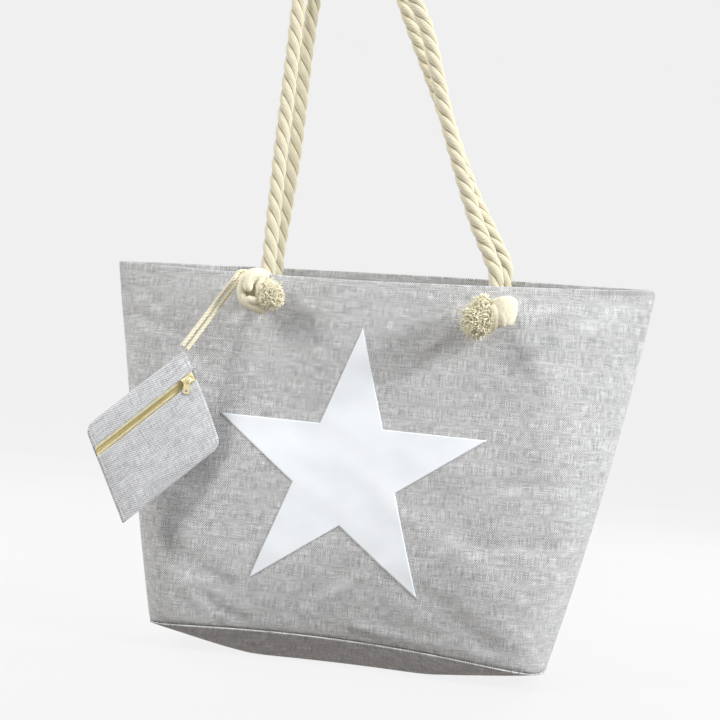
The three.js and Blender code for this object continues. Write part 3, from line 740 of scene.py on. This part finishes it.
def base_dish(name, lift, thick, rings, material, seed):
    """A dish that meets the walls at the seam and lies flat in the middle."""
    edge = base_edge(320)
    count = len(edge)
    top = edge[:, 2] - GAP - CLOTH
    layers = []
    for height in (lift, lift + thick):
        rows = []
        for ring in rings:
            share = np.clip((ring - FLAT_PATCH) / (1 - FLAT_PATCH), 0, 1)
            rise = top * share ** BASE_CURVE
            x, y = edge[:, 0] * ring, edge[:, 1] * ring
            puff = 0.5 * MM * (1 + waves(seed, 12, 40 * MM, 120 * MM, x, y))
            rows.append(np.stack([x, y, rise + height + puff * smoothstep(0, 0.2, share)
                                  * smoothstep(0, 0.1, 1 - ring)], -1))
        layers.append(np.vstack([*rows, [[0, 0, height]]]))
    points = np.concatenate(layers)
    step = len(layers[0])
    around = [(k, (k + 1) % count) for k in range(count)]
    inmost = step - 1 - count  # where the smallest ring starts; the middle point comes after it
    fan = [(inmost + a, inmost + b, step - 1) for a, b in around]
    dish = ring_faces(len(rings), count) + fan
    faces = [f[::-1] for f in dish] + [tuple(i + step for i in f) for f in dish]
    faces += [(a, b, b + step, a + step) for a, b in around]
    flat = np.linalg.norm(points[:, :2], axis=1)
    steep = 1 + 0.6 * np.clip(points[:, 2] - lift, 0, None) / np.maximum(flat, 1e-6)
    return new_piece(name, points, faces, material, points[:, :2] * steep[:, None])


def add_base():
    rings = np.concatenate([np.linspace(1, 0.98, 4)[:-1], np.linspace(0.98, 0.05, 40)])
    base = base_dish("base_cloth", 0.0, CLOTH, rings, LINEN, 41)
    settle(base, "bag", ["base_panel"])
    inside = np.linspace(0.95, 0.05, 30)
    lining = base_dish("base_lining_cloth", CLOTH + GAP, LINING_THICK, inside, LINING, 42)
    settle(lining, "bag", ["base_lining"])


def star_outline():
    corners = []
    for i in range(10):
        radius = STAR_RADIUS * (1 if i % 2 == 0 else STAR_WAIST)
        angle = math.pi / 2 + STAR_TURN - i * math.pi / 5
        corners.append((STAR_X + radius * math.cos(angle), STAR_Z + radius * math.sin(angle)))
    return corners


def add_star():
    """Ten triangles from the middle, each divided finely and laid on the wall."""
    corners = star_outline()
    steps = 34
    flat, faces = [], []
    for i, corner in enumerate(corners):
        after = corners[(i + 1) % 10]
        start = len(flat)
        index = {}
        for a in range(steps + 1):
            for b in range(steps + 1 - a):
                index[a, b] = start + len(index)
                flat.append([m + (c - m) * a / steps + (d - m) * b / steps
                             for m, c, d in zip((STAR_X, STAR_Z), corner, after)])
        for a in range(steps):
            for b in range(steps - a):
                faces.append((index[a, b], index[a, b + 1], index[a + 1, b]))
                if a + b + 2 <= steps:
                    faces.append((index[a + 1, b], index[a, b + 1], index[a + 1, b + 1]))
    flat = np.array(flat)
    keys = np.round(flat / (0.01 * MM)).astype(int)
    _, first, back = np.unique(keys, axis=0, return_index=True, return_inverse=True)
    flat = flat[first]
    faces = np.ravel(back)[np.array(faces)]
    x, z = flat[:, 0], flat[:, 1]
    s = (x - middle_of(z)) / half_width(z)
    row = (z - seam_height(s)) / (rim_height(FRONT, s) - seam_height(s))
    outer = wall_point(FRONT, s, row, 0.0, GAP + FILM)
    inner = wall_point(FRONT, s, row, 0.0, 0.1 * MM)
    count = len(flat)
    a, b, c = faces.T
    area = (x[b] - x[a]) * (z[c] - z[a]) - (x[c] - x[a]) * (z[b] - z[a])
    faces = np.where((area < 0)[:, None], faces[:, ::-1], faces)
    every = [*faces, *(faces[:, ::-1] + count)]
    edges = [edge for p, q, r in faces for edge in ((p, q), (q, r), (r, p))]
    seen = set(edges)
    every.extend((q, p, p + count, q + count) for p, q in edges if (q, p) not in seen)
    points = np.concatenate([outer, inner])
    piece = new_piece("star_film", points, every, FILM_WHITE, twice(flat))
    return settle(piece, "bag", ["star_print"])


def stitch_row(name, side, below, length, gap):
    """Topstitching along the rim: short loops of thread lying on the cloth."""
    stitches = []
    fine = np.linspace(-0.985, 0.985, 4000)
    row = 1 - below / HEIGHT
    line = wall_point(side, fine, row, 0.0)
    run = lengths_along(line)
    for start in np.arange(0, run[-1] - length, length + gap):
        s = np.interp(start + length * np.linspace(0, 1, 7), run, fine)
        lift = 0.42 * MM * np.sin(np.linspace(0, math.pi, 7)) ** 0.5 - 0.12 * MM
        stitch = wall_point(side, s, row, 0.0, lift)
        if any(np.linalg.norm(stitch[3] - eyelet_frame(side, end)["origin"]) < 14 * MM
               for end in (0, 1)):
            continue
        stitches.append(tube_mesh(stitch, 0.34 * MM, 6))
    return settle(new_piece(name, *joined(stitches), THREAD), "bag")


for wall_name, wall_side in SIDES.items():
    wall_cloth(wall_name, wall_side)
    wall_lining(wall_name, wall_side)
    stitch_row(f"{wall_name}_hem_stitches", wall_side, HEM_DEPTH, HEM_STITCH, HEM_STITCH_GAP)
add_base()
add_star()


# ---- ropes ----
def smooth_path(points, step):
    """A centripetal Catmull-Rom curve through the points, as places step apart."""
    points = np.asarray(points, float)
    ends = [2 * points[0] - points[1], *points, 2 * points[-1] - points[-2]]
    fine = []
    for p0, p1, p2, p3 in zip(ends, ends[1:], ends[2:], ends[3:]):
        t1 = np.linalg.norm(p1 - p0) ** 0.5
        t2 = t1 + np.linalg.norm(p2 - p1) ** 0.5
        t3 = t2 + np.linalg.norm(p3 - p2) ** 0.5
        for t in np.linspace(t1, t2, 24, endpoint=False):
            a1 = p0 + (p1 - p0) * t / t1
            a2 = p1 + (p2 - p1) * (t - t1) / (t2 - t1)
            a3 = p2 + (p3 - p2) * (t - t2) / (t3 - t2)
            b1 = a1 + (a2 - a1) * t / t2
            b2 = a2 + (a3 - a2) * (t - t1) / (t3 - t1)
            fine.append(b1 + (b2 - b1) * (t - t1) / (t2 - t1))
    fine = np.array([*fine, points[-1]])
    lengths = lengths_along(fine)
    places = np.linspace(0, lengths[-1], max(int(lengths[-1] / step), 3) + 1)
    return np.stack([np.interp(places, lengths, fine[:, i]) for i in range(3)], 1), lengths[-1]


def strand_outline(angles, strands, radius, share):
    """The outline of strands twisted together, each of them share of the rope's radius thick."""
    thick = radius * share
    reach = radius - thick
    sector = 2 * math.pi / strands
    off = (angles + sector / 2) % sector - sector / 2
    return reach * np.cos(off) + np.sqrt(thick ** 2 - (reach * np.sin(off)) ** 2)


def twisted_tube(path, radius, lay, share, strands=3, around=36):
    """Points, quads and marks of a twisted rope along a path. lay is the length of one full turn,
    below nought for the other hand."""
    _, sides, tops = path_frames(path)
    count = len(path)
    along = lengths_along(path)
    turn = 2 * math.pi * along / lay
    angles = np.arange(around + 1) * 2 * math.pi / around
    reach = strand_outline(angles, strands, radius, share)
    spin = angles[None, :] + turn[:, None]
    points = (path[:, None] + (reach[None, :] * np.cos(spin))[..., None] * sides[:, None]
              + (reach[None, :] * np.sin(spin))[..., None] * tops[:, None])
    u = np.broadcast_to(angles * strands / (2 * math.pi) + 0.5, spin.shape)
    marks = np.stack([u, np.broadcast_to(along[:, None], spin.shape)], -1)
    quads = cells(count, around + 1)
    return points, quads, marks


def rope_piece(name, path, radius, lay, material, **shape):
    points, quads, marks = twisted_tube(path, radius, lay, **shape)
    # The last column lies on the first, so its points take the first one's numbers. Each end is
    # closed by a cap.
    rows, around = len(points), points.shape[1] - 1
    number = np.arange(rows * around).reshape(rows, around)
    number = np.concatenate([number, number[:, :1]], 1)
    caps = (number[0, :-1][::-1], number[-1, :-1])
    faces = [tuple(f) for f in (*number.ravel()[quads], *caps)]
    piece = new_piece(name, points[:, :-1].reshape(-1, 3), faces, material)
    corner_uv = [marks.reshape(-1, 2)[quads].reshape(-1, 2), marks[0, :-1][::-1], marks[-1, :-1]]
    layer = piece.data.uv_layers.new(name="cloth")
    layer.data.foreach_set("uv", np.concatenate(corner_uv).ravel())
    return piece


ROPE_LAY = -54 * MM
NECK_START = 6.1 * MM


def end_route(name, side, end):
    """The rope from the knot's back through the eyelet and up inside the wall to the rim."""
    eyelet = eyelet_frame(side, end)
    inside = eyelet["origin"] - eyelet["out"] * ROPE_INSIDE
    hinge = max(rim_height(side, x / RIM_HALF_WIDTH) for x in HANDLE_X[name]) + HINGE_ABOVE_RIM
    start = eyelet["origin"] + eyelet["out"] * (NECK_START + 3 * MM)
    turn = eyelet["origin"] - eyelet["out"] * TURN_AFTER
    bend = 0.25 * turn + 0.5 * inside + 0.25 * (inside + [0, 0, ROPE_INSIDE - TURN_AFTER])
    top = inside * [1, 1, 0] + [0, 0, hinge]
    return [start, turn, bend, top]


def add_handle(name, side):
    left = end_route(name, side, 0)
    right = end_route(name, side, 1)
    lift = np.array([0, 0, 9 * MM])
    middle = [np.array(p) * MM for p in HANDLE_ROUTE[name]]
    route = [*left, left[-1] + lift, *middle, right[-1] + lift, *right[::-1]]
    path, length = smooth_path(route, 2.2 * MM)
    piece = rope_piece(f"{name}_handle", path, ROPE_RADIUS, ROPE_LAY, ROPE, share=0.66)
    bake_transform(piece)
    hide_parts(f"{name}_handle_rope", f"{name}_left_rope_end", f"{name}_right_rope_end")
    return piece


# ---- eyelets ----
def add_lathe(name, profile, origin, axis, up, material):
    """A closed ring: the profile's points are (radius, height along the axis)."""
    count = 48
    across = np.cross(axis, up)
    angles = np.arange(count) * 2 * math.pi / count
    ring = np.cos(angles)[:, None] * across + np.sin(angles)[:, None] * up
    points = np.concatenate([origin + ring * r + axis * h for r, h in profile])
    faces = [tuple(i % len(points) for i in f) for f in ring_faces(len(profile) + 1, count)]
    return new_piece(name, points, faces, material)


def add_eyelet(label, eyelet):
    face = 0.7 * MM
    inside = -LINING_INSET - FACING_THICK - 1.3 * MM
    tip = 0.9 * MM
    section = [(EYELET_BARREL - 0.8 * MM, inside - tip), (EYELET_BARREL, inside - tip),
               (EYELET_BARREL, face), (EYELET_FLANGE, face)]
    for angle in np.linspace(0.2, math.pi - 0.5, 8):
        span = (EYELET_FLANGE - EYELET_BORE) / 2
        section.append((EYELET_FLANGE - span * (1 - math.cos(angle)),
                        face + 1.5 * MM * math.sin(angle)))
    section.append((EYELET_BORE, face))
    ring = add_lathe(f"{label}_grommet", section, eyelet["origin"], eyelet["out"], eyelet["up"],
                     EYELET_METAL)
    settle(ring, "bag", [f"{label}_eyelet"])
    flat = [(EYELET_BARREL + GAP, inside - tip), (EYELET_BARREL + GAP, inside),
            (EYELET_FLANGE - 0.3 * MM, inside), (EYELET_FLANGE, inside - 0.3 * MM),
            (EYELET_FLANGE - 0.3 * MM, inside - tip)]
    washer = add_lathe(f"{label}_washer_ring", flat, eyelet["origin"], eyelet["out"],
                       eyelet["up"], EYELET_METAL)
    settle(washer, "bag", [f"{label}_washer"])


# ---- knots ----
KNOT_REACH = 23.4 * MM
KNOT_SHIFT = 5 * MM
ROUNDED_STEPS = 4  # steps of a turn's path over which its ends are rounded
# The turns of each knot round its middle, in millimetres: right, up and outwards, with their
# thickness. The left one shows its strands as open loops, the right one is drawn into a ball.
LOOP_KNOT = [
    (4.6, [(9, 14, -6), (5, 18, 0), (-1, 18, 5), (-8, 14, 8), (-12, 6, 9), (-13, -3, 9),
           (-10, -11, 8), (-3, -16, 7), (6, -19, 5), (13, -21, 2)]),
    (4.6, [(9, 13, 4), (3, 14, 9), (-3, 10, 12), (-5, 3, 13), (-3.5, -3, 12)]),
    (4.0, [(-7, -9, 9), (-1, -11, 11), (7, -12, 10)]),
    (4.8, [(7, 13, 6), (6, 3, 9), (8, -7, 8)]),
    (8.6, [(4, 8, -8), (4, 0, -3), (5, -8, -5)]),
    (5.5, [(-7, 8, -1), (-8, 0, 0), (-5, -9, 0)]),
    (7.2, [(-5, 1, -17), (-3, 0, -10), (2, 0, -4)]),
]
BALL_KNOT = [
    (14.5, [(1.5, 11, -1), (3, 4, 1), (2, -4, 1), (-1, -11, -1)]),
    (9.5, [(-8, 8, 0), (-6, 0, 2), (-7, -9, 0)]),
    (5.0, [(-7, 4, 9), (-3, -4, 11), (-3, -13, 9), (-6, -20, 4)]),
    (4.6, [(0, 1, 11), (4, -8, 10.6), (3, -17, 6)]),
    (3.0, [(-11, -3, 8), (-10, -10, 8), (-12, -19, 4)]),
    (7.2, [(-6, 1, -17), (-4, 0, -10), (-1, 0, -3)]),
]


def evaluated(piece):
    """Applies the piece's modifiers."""
    graph = bpy.context.evaluated_depsgraph_get()
    mesh = bpy.data.meshes.new_from_object(piece.evaluated_get(graph))
    old = piece.data
    piece.modifiers.clear()
    piece.data = mesh
    bpy.data.meshes.remove(old)
    mesh.name = piece.name
    return piece


def add_knot(label, centre, side, turns):
    """The rope's turns, melted into one soft body."""
    tubes = []
    for thick, turn in turns:
        place = [centre + np.array([x, side * out, up]) * MM for x, up, out in turn]
        path, _ = smooth_path(place, 1.2 * MM)
        from_end = np.minimum(np.arange(len(path)), np.arange(len(path))[::-1])
        rounding = np.sqrt(np.clip(1 - (1 - from_end / ROUNDED_STEPS) ** 2, 0.05, 1))
        rounding = np.where(from_end < ROUNDED_STEPS, rounding, 1)
        tubes.append(tube_mesh(path, thick * MM * rounding, 20))
    # painted shade: the knot takes the darker copy of the cotton
    knot = new_piece(f"{label}_rope_knot", *joined(tubes), SHADED_KNOT_COTTON)
    remesh = knot.modifiers.new("fuse", "REMESH")
    remesh.mode = "VOXEL"
    remesh.voxel_size = 0.6 * MM
    soften = knot.modifiers.new("soften", "SMOOTH")
    soften.factor = 0.5
    soften.iterations = 4
    evaluated(knot)
    knot.data.polygons.foreach_set("use_smooth", [True] * len(knot.data.polygons))
    return settle(knot, "bag", [f"{label}_knot"])


def add_tuft(label, centre, sizes, lean, length, count, seed):
    """The rope's frayed end: a soft clump that bristles with short curly yarns."""
    rng = np.random.default_rng(seed)
    rings, around = 12, 20
    core = np.array([(math.sin(p) * math.cos(t), math.sin(p) * math.sin(t), math.cos(p))
                     for p in math.pi * np.arange(rings + 1) / rings
                     for t in 2 * math.pi * np.arange(around) / around])
    bumps = 1 + 0.1 * np.sin(7 * core[:, 0] + 2) * np.sin(8 * core[:, 2]) \
        + 0.08 * np.sin(11 * core[:, 1] + 5 * core[:, 2])
    core = centre + core * sizes * 0.84 * bumps[:, None]
    parts = [(core, turned(ring_faces(rings + 1, around)))]
    steps, edges = 8, 4
    for number in range(count):
        outward = unit(rng.normal(0, 1, 3))
        if outward @ lean < -0.6:
            outward = -outward
        start = centre + outward * sizes * 0.8
        stray = number % 23 == 0
        goes = unit(outward / sizes * np.mean(sizes) + lean * 0.45
                    + rng.normal(0, 0.5, 3))
        toward = 0.6 + 0.85 * max(float(outward @ lean), 0.0) ** 2
        long = length * rng.uniform(0.6, 1.15) * (1.7 if stray else 1.0) * toward
        thick = (0.34 if stray else rng.uniform(0.5, 0.85)) * MM
        side_a = unit(np.cross(goes, rng.normal(0, 1, 3)))
        side_b = np.cross(goes, side_a)
        t = np.linspace(0, 1, steps)
        wave = rng.uniform(0, 2 * math.pi) + 2 * math.pi * rng.uniform(0.4, 1.3) * t
        swing = rng.uniform(0.5, 1.7) * MM * t ** 0.6
        bend = rng.normal(0, 0.25, 2) * long
        line = (start + goes * (long * t)[:, None]
                + side_a * (swing * np.cos(wave) + bend[0] * t ** 2)[:, None]
                + side_b * (swing * np.sin(wave) + bend[1] * t ** 2)[:, None])
        parts.append(tube_mesh(line, thick * (1 - 0.3 * t ** 2), edges))
    # painted light: the loose yarns take the lighter copy of the cotton
    piece = new_piece(f"{label}_frayed_end", *joined(parts), LIT_FIBRE)
    return settle(piece, "bag", [f"{label}_tuft"])


# Each tuft: its middle from the knot's, its half sizes, the way it leans, all in millimetres to
# the right, outwards and up, then its yarns' length and number.
TUFTS = {
    "front_left": ((13, 5, -4), (13, 10, 16), (0.85, 0.3, -0.2), 6, 900),
    "front_right": ((-15, 5.5, -6), (13.5, 10, 21), (-0.75, 0.3, -0.55), 9, 1200),
    "back_left": ((15, 6, -4), (13, 10, 16), (0.9, 0.35, -0.25), 6.5, 700),
    "back_right": ((-18, 6, -4), (13, 10, 17), (-0.9, 0.4, -0.15), 6.5, 700),
}


def add_knots():
    for number, (name, side) in enumerate(SIDES.items()):
        for end in (0, 1):
            label = f"{name}_{('left', 'right')[end]}"
            eyelet = eyelet_frame(side, end)
            add_eyelet(label, eyelet)
            centre = (eyelet["origin"] + eyelet["out"] * KNOT_REACH
                      + eyelet["across"] * KNOT_SHIFT)
            add_knot(label, centre, side, (LOOP_KNOT, BALL_KNOT)[end])
            middle, sizes, lean, length, count = TUFTS[label]
            outwards = np.array([1, side, 1])
            add_tuft(label, centre + np.array(middle) * outwards * MM, np.array(sizes) * MM,
                     unit(np.array(lean) * outwards), length * MM, count, 70 + 2 * number + end)


# ---- the pouch ----
POUCH_CORNER = np.array([-172.5, -94, 304]) * MM
POUCH_ALONG = unit([-0.683, -0.243, -0.689])
POUCH_DOWN = unit([0.403, 0.193, -0.895])
POUCH_OUT = unit(np.cross(POUCH_ALONG, POUCH_DOWN))
if POUCH_OUT[1] > 0:
    POUCH_OUT = -POUCH_OUT
POUCH_MARGIN = 2 * MM
POUCH_LENGTH = 124 * MM
POUCH_HEIGHT = 103 * MM
ZIP_AT = 27 * MM
ZIP_HALF_GAP = 4.8 * MM
POUCH_STITCH = 2.5 * MM
POUCH_STITCH_PITCH = 3.4 * MM
POUCH_SEAM = 3.5 * MM  # from the pouch's end to its first stitch
COIL_PITCH = 1.25 * MM
CORNER_RADII = {"a": 2.5 * MM, "b": 9 * MM, "c": 1.5 * MM, "d": 9 * MM}


def pouch_point(u, v, w):
    u, v, w = np.broadcast_arrays(u, v, w)
    return (POUCH_CORNER + (u + POUCH_MARGIN)[..., None] * POUCH_ALONG
            + (v + POUCH_MARGIN)[..., None] * POUCH_DOWN + w[..., None] * POUCH_OUT)


def corner_cut(gap, radius):
    """How far a rounded corner pulls the edge in, at a distance of gap from the next edge."""
    near = np.clip(radius - gap, 0, radius)
    return radius - np.sqrt(radius ** 2 - near ** 2)


def pouch_span(v):
    """The pouch's right and left edges at v."""
    low = (corner_cut(v, CORNER_RADII["a"]) + corner_cut(POUCH_HEIGHT - v, CORNER_RADII["b"])
           - 1.6 * MM * np.sin(math.pi * v / POUCH_HEIGHT))
    high = POUCH_LENGTH - (corner_cut(v, CORNER_RADII["d"])
                           + corner_cut(POUCH_HEIGHT - v, CORNER_RADII["c"]))
    return low, high


def rounded(distance, reach):
    """From 0 at an edge to 1 at reach from it, rising as a quarter circle."""
    return np.sqrt(np.clip(1 - (1 - np.clip(distance / reach, 0, 1)) ** 2, 0, 1))


def pouch_height(u, v, v0, v1, side, folded):
    """How far a sheet of the pouch stands off the middle plane, and how much its edges are
    rounded off there."""
    low, high = pouch_span(v)
    from_side = np.minimum(u - low, high - u)
    from_top = np.where(folded[0], 1.0, v - v0) + 0 * u
    from_foot = np.where(folded[1], 1.0, v1 - v) + 0 * u
    edge = np.minimum(from_side, np.minimum(from_top, from_foot))
    rise = rounded(edge, 3.2 * MM)
    fold = np.minimum(np.where(folded[0], v - v0, 1.0), np.where(folded[1], v1 - v, 1.0)) + 0 * u
    lip = rounded(fold, 1.3 * MM)
    puff = ((1 - (2 * u / POUCH_LENGTH - 1) ** 4) * (1 - (2 * v / POUCH_HEIGHT - 1) ** 4))
    puff = np.clip(puff, 0, 1) * 2.6 * MM
    soft = 0.45 * MM * waves(61 + side, 12, 22 * MM, 80 * MM, u, v) * rise
    groove = -0.35 * MM * np.exp(-((edge - 4.2 * MM) / (0.8 * MM)) ** 2)
    outer = 0.35 * MM + 1.6 * MM * rise + puff + soft + groove
    outer = np.where(lip < 1, np.maximum(outer, 1.5 * MM) * (0.45 + 0.55 * lip), outer)
    return outer, rise * lip


def pouch_cloth(name, v0, v1, rows, side, folded, nodes):
    """A sheet of the pouch from v0 to v1. folded says which of its two ends turn in at the zip."""
    count = 90
    v = mix(v0, v1, (1 - np.cos(np.linspace(0, math.pi, rows))) / 2)[:, None]
    t = ((1 - np.cos(np.linspace(0, math.pi, count))) / 2)[None, :]
    u = mix(*pouch_span(v), t)
    outer, full = pouch_height(u, v, v0, v1, side, folded)
    inner = np.maximum(outer - 1.2 * MM * full - 0.05 * MM, 0.05 * MM) * side
    outer = outer * side
    points = [pouch_point(u, v, outer), pouch_point(u, v, inner)]
    if side > 0:
        points = [p[:, ::-1] for p in points]
    marks = np.stack([u, v + 0 * u], -1)
    marks = marks[:, ::-1] if side > 0 else marks
    flat, faces = closed_sheet(*points)
    faces = [tuple(f)[::-1] for f in faces]
    piece = new_piece(name, flat, faces, POUCH_LINEN, twice(marks))
    return settle(piece, "pouch", nodes)


def pouch_stitches(name, at, v0, v1, folded):
    """A row of stitches beside the zip."""
    stitches = []
    for start in np.arange(POUCH_SEAM, POUCH_LENGTH - 2 * POUCH_SEAM, POUCH_STITCH_PITCH):
        u = start + POUCH_STITCH * np.linspace(0, 1, 6)
        v = np.full(6, at)
        height, _ = pouch_height(u, v, v0, v1, 1, folded)
        lift = 0.3 * MM * np.sin(np.linspace(0, math.pi, 6)) ** 0.5 - 0.1 * MM
        stitches.append(tube_mesh(pouch_point(u, v, height + lift), 0.26 * MM))
    return settle(new_piece(name, *joined(stitches), THREAD), "pouch")


def zip_strip(name, v0, v1, node):
    u = np.linspace(1.0 * MM, POUCH_LENGTH - 1.0 * MM, 80)[None, ::-1]
    v = np.linspace(v0, v1, 6)[:, None]
    ripple = 0.12 * MM * np.sin(u * 2 * math.pi / (9 * MM)) * (v - ZIP_AT) / ZIP_HALF_GAP
    top = pouch_point(u, v, 0.75 * MM + ripple)
    low = pouch_point(u, v, 0.1 * MM + 0 * ripple)
    flat, faces = closed_sheet(top, low)
    faces = [tuple(f)[::-1] for f in faces]
    marks = np.stack(np.broadcast_arrays(u, v), -1)
    piece = new_piece(name, flat, faces, ZIP_TAPE, twice(marks))
    return settle(piece, "pouch", [node])


def add_zip_coil():
    """Two flat nylon spirals whose turns mesh at the middle."""
    start, end = 2 * MM, POUCH_LENGTH - 2 * MM
    turns = int((end - start) / COIL_PITCH)
    spirals = []
    for sign in (1, -1):
        t = np.linspace(0, turns, turns * 9)
        angle = 2 * math.pi * t
        u = start + COIL_PITCH * t + (COIL_PITCH / 2 if sign < 0 else 0)
        v = ZIP_AT + sign * (0.75 * MM - 0.95 * MM * np.cos(angle))
        w = 1.62 * MM + 0.5 * MM * np.sin(angle)
        spirals.append(tube_mesh(pouch_point(u, v, w), 0.3 * MM))
    piece = new_piece("zip_coil_turns", *joined(spirals), ZIP_COIL)
    return settle(piece, "pouch", ["zip_coil"])


def bevelled_copy(node, name, width, material, body):
    """The CAD piece's own shape with its edges broken."""
    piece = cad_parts[node].copy()
    piece.data = piece.data.copy()
    piece.name = name
    for key in list(piece.keys()):
        del piece[key]
    piece.parent = None
    bpy.context.scene.collection.objects.link(piece)
    weld = piece.modifiers.new("weld", "WELD")
    weld.merge_threshold = 0.01 * MM
    flat = piece.modifiers.new("flatten", "DECIMATE")
    flat.decimate_type = "DISSOLVE"
    flat.angle_limit = math.radians(2)
    bevel = piece.modifiers.new("bevel", "BEVEL")
    bevel.width = width
    bevel.segments = 3
    bevel.angle_limit = math.radians(30)
    evaluated(piece)
    piece.data.materials.clear()
    piece.data.materials.append(material)
    piece.data.polygons.foreach_set("use_smooth", [True] * len(piece.data.polygons))
    return settle(piece, body, [node])


def add_pouch():
    upper, lower = ZIP_AT - ZIP_HALF_GAP, ZIP_AT + ZIP_HALF_GAP
    pouch_cloth("pouch_back_cloth", 0, POUCH_HEIGHT, 60, -1, (False, False), ["pouch_back"])
    pouch_cloth("pouch_upper_cloth", 0, upper, 30, 1, (False, True), ["pouch_front_upper"])
    pouch_cloth("pouch_lower_cloth", lower, POUCH_HEIGHT, 50, 1, (True, False),
                ["pouch_front_lower"])
    pouch_stitches("pouch_upper_stitches", upper - 2.4 * MM, 0, upper, (False, True))
    pouch_stitches("pouch_lower_stitches", lower + 2.4 * MM, lower, POUCH_HEIGHT, (True, False))
    zip_strip("zip_upper_tape", upper - 2 * MM, ZIP_AT - 0.2 * MM, "zip_tape_upper")
    zip_strip("zip_lower_tape", ZIP_AT + 0.2 * MM, lower + 2 * MM, "zip_tape_lower")
    add_zip_coil()
    bevelled_copy("zip_slider", "zip_slider_body", 0.25 * MM, ZIP_METAL, "zip_slider")
    bevelled_copy("zip_pull", "zip_pull_tab", 0.16 * MM, ZIP_METAL, "zip_pull")


# ---- the pouch's doubled cord ----
STRAP_PIVOT = np.array([-133, -62, 382]) * MM
CORD_RADIUS = 2 * MM
STRAP_HALF_WIDTH = 2.5 * MM
STRAP_OVER = [(-124, -57, 388), (-114, -53, 386.4), (-105, -50.5, 382), (-99.5, -48.5, 374),
              (-98, -46.5, 364), (-102, -45.5, 355.5), (-110, -45.5, 352.5), (-118, -45.8, 355.5),
              (-121.8, -46.5, 364), (-122.4, -48.5, 371.5), (-125, -53, 380.5)]


def add_cord():
    down = unit(POUCH_CORNER - STRAP_PIVOT)
    length = np.linalg.norm(POUCH_CORNER - STRAP_PIVOT)
    sideways = unit(np.cross(down, POUCH_OUT))
    if sideways[0] > 0:
        sideways = -sideways

    def beside(distance, sign, share):
        return STRAP_PIVOT + down * distance + sideways * sign * share * STRAP_HALF_WIDTH

    strand = [(length + 1.5 * MM, 1.2), (length * 0.75, 1.15), (length * 0.5, 1.1),
              (length * 0.25, 1.05), (2 * MM, 1.0), (-4 * MM, 1.0)]
    up = [beside(distance, 1, share) for distance, share in strand]
    back = [beside(distance, -1, share) for distance, share in strand[::-1]]
    route = [*up, *(np.array(p) * MM for p in STRAP_OVER), *back]
    path, long = smooth_path(route, 0.9 * MM)
    piece = rope_piece("pouch_cord", path, 1.12 * CORD_RADIUS, 13 * MM, CORD, strands=3,
                       around=18, share=0.6)
    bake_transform(piece)
    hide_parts("strap_strand_upper", "strap_strand_lower", "strap_loop_upper",
                "strap_loop_lower")


for wall_name, wall_side in SIDES.items():
    add_handle(wall_name, wall_side)
add_cord()
add_knots()
add_pouch()


# ---- stage and light ----
def add_stage():
    """A pale round floor that sweeps up into a backdrop on every side."""
    radius, bend, top, around = 6.0, 1.2, 5.0, 96
    line = [(0.02, 0.0), (2.0, 0.0), (radius - bend, 0.0)]
    for angle in np.linspace(0, math.pi / 2, 16)[1:]:
        line.append((radius - bend + bend * math.sin(angle), bend * (1 - math.cos(angle))))
    line.append((radius, top))
    turns = np.arange(around) * 2 * math.pi / around
    points = [(r * math.cos(t), r * math.sin(t), z) for r, z in line for t in turns]
    faces = [tuple(range(around)), *turned(ring_faces(len(line), around))]
    material, shader, n = new_material("studio paper")
    place = n.place()
    tone = n.ramp(n.noise(place, 3.0, 2.0), (0.3, (0.028, 0.028, 0.028)),
                  (0.7, (0.032, 0.032, 0.032)))
    n.put(shader.inputs["Base Color"], tone)
    shader.inputs["Emission Color"].default_value = (1.0, 1.0, 1.0, 1.0)
    shader.inputs["Emission Strength"].default_value = 0.85
    shader.inputs["Roughness"].default_value = 0.95
    shader.inputs["Specular IOR Level"].default_value = 0.1
    stage = new_piece("studio_floor", points, faces, material)
    # The paper neither lights the bag from below nor shades it from the lamps and the room.
    stage.visible_diffuse = False
    stage.visible_shadow = False


# Each lamp: its place, what it points at, its width, power in watts and tone.
WARM_WHITE = (1.0, 0.99, 0.97)
LAMPS = {
    "right key": ((2.6, -0.75, 1.6), (0.1, 0, 0.25), 0.9, 112, (0.975, 0.99, 1.0)),
    "left key": ((-1.9, -1.5, 1.7), (-0.05, 0, 0.2), 0.8, 46, WARM_WHITE),
    "back key": ((1.1, 2.7, 1.7), (0, 0, 0.25), 1.1, 62, WARM_WHITE),
    "far back key": ((-2.2, 1.7, 1.5), (0, 0, 0.25), 1.1, 34, WARM_WHITE),
}


def add_area(name, place, target, size, power, tone):
    light = bpy.data.lights.new(name, "AREA")
    light.shape = "DISK"
    light.size = size
    light.energy = power
    light.color = tone
    lamp = bpy.data.objects.new(name, light)
    lamp.location = place
    lamp.rotation_euler = (Vector(target) - Vector(place)).to_track_quat("-Z", "Y").to_euler()
    bpy.context.scene.collection.objects.link(lamp)


def add_lights():
    """A soft room that is darker below, a broad key from the right, a weaker one from the upper
    left, and two from behind."""
    world = bpy.data.worlds.new("studio")
    bpy.context.scene.world = world
    world.use_nodes = True
    n = Nodes(world.node_tree)
    way = n.add("ShaderNodeSeparateXYZ", {0: n.add("ShaderNodeTexCoord").outputs["Generated"]})
    height = n.math("MULTIPLY_ADD", way.outputs["Z"], 0.5, 0.5)
    tone = n.ramp(height, (0.36, (0.58, 0.52, 0.49)), (0.5, (0.97, 0.985, 1.0)))
    background = world.node_tree.nodes["Background"]
    n.put(background.inputs["Color"], tone)
    background.inputs["Strength"].default_value = 0.565
    for name, lamp in LAMPS.items():
        add_area(name, *lamp)
    bpy.context.scene.view_settings.view_transform = "Standard"


add_stage()
add_lights()
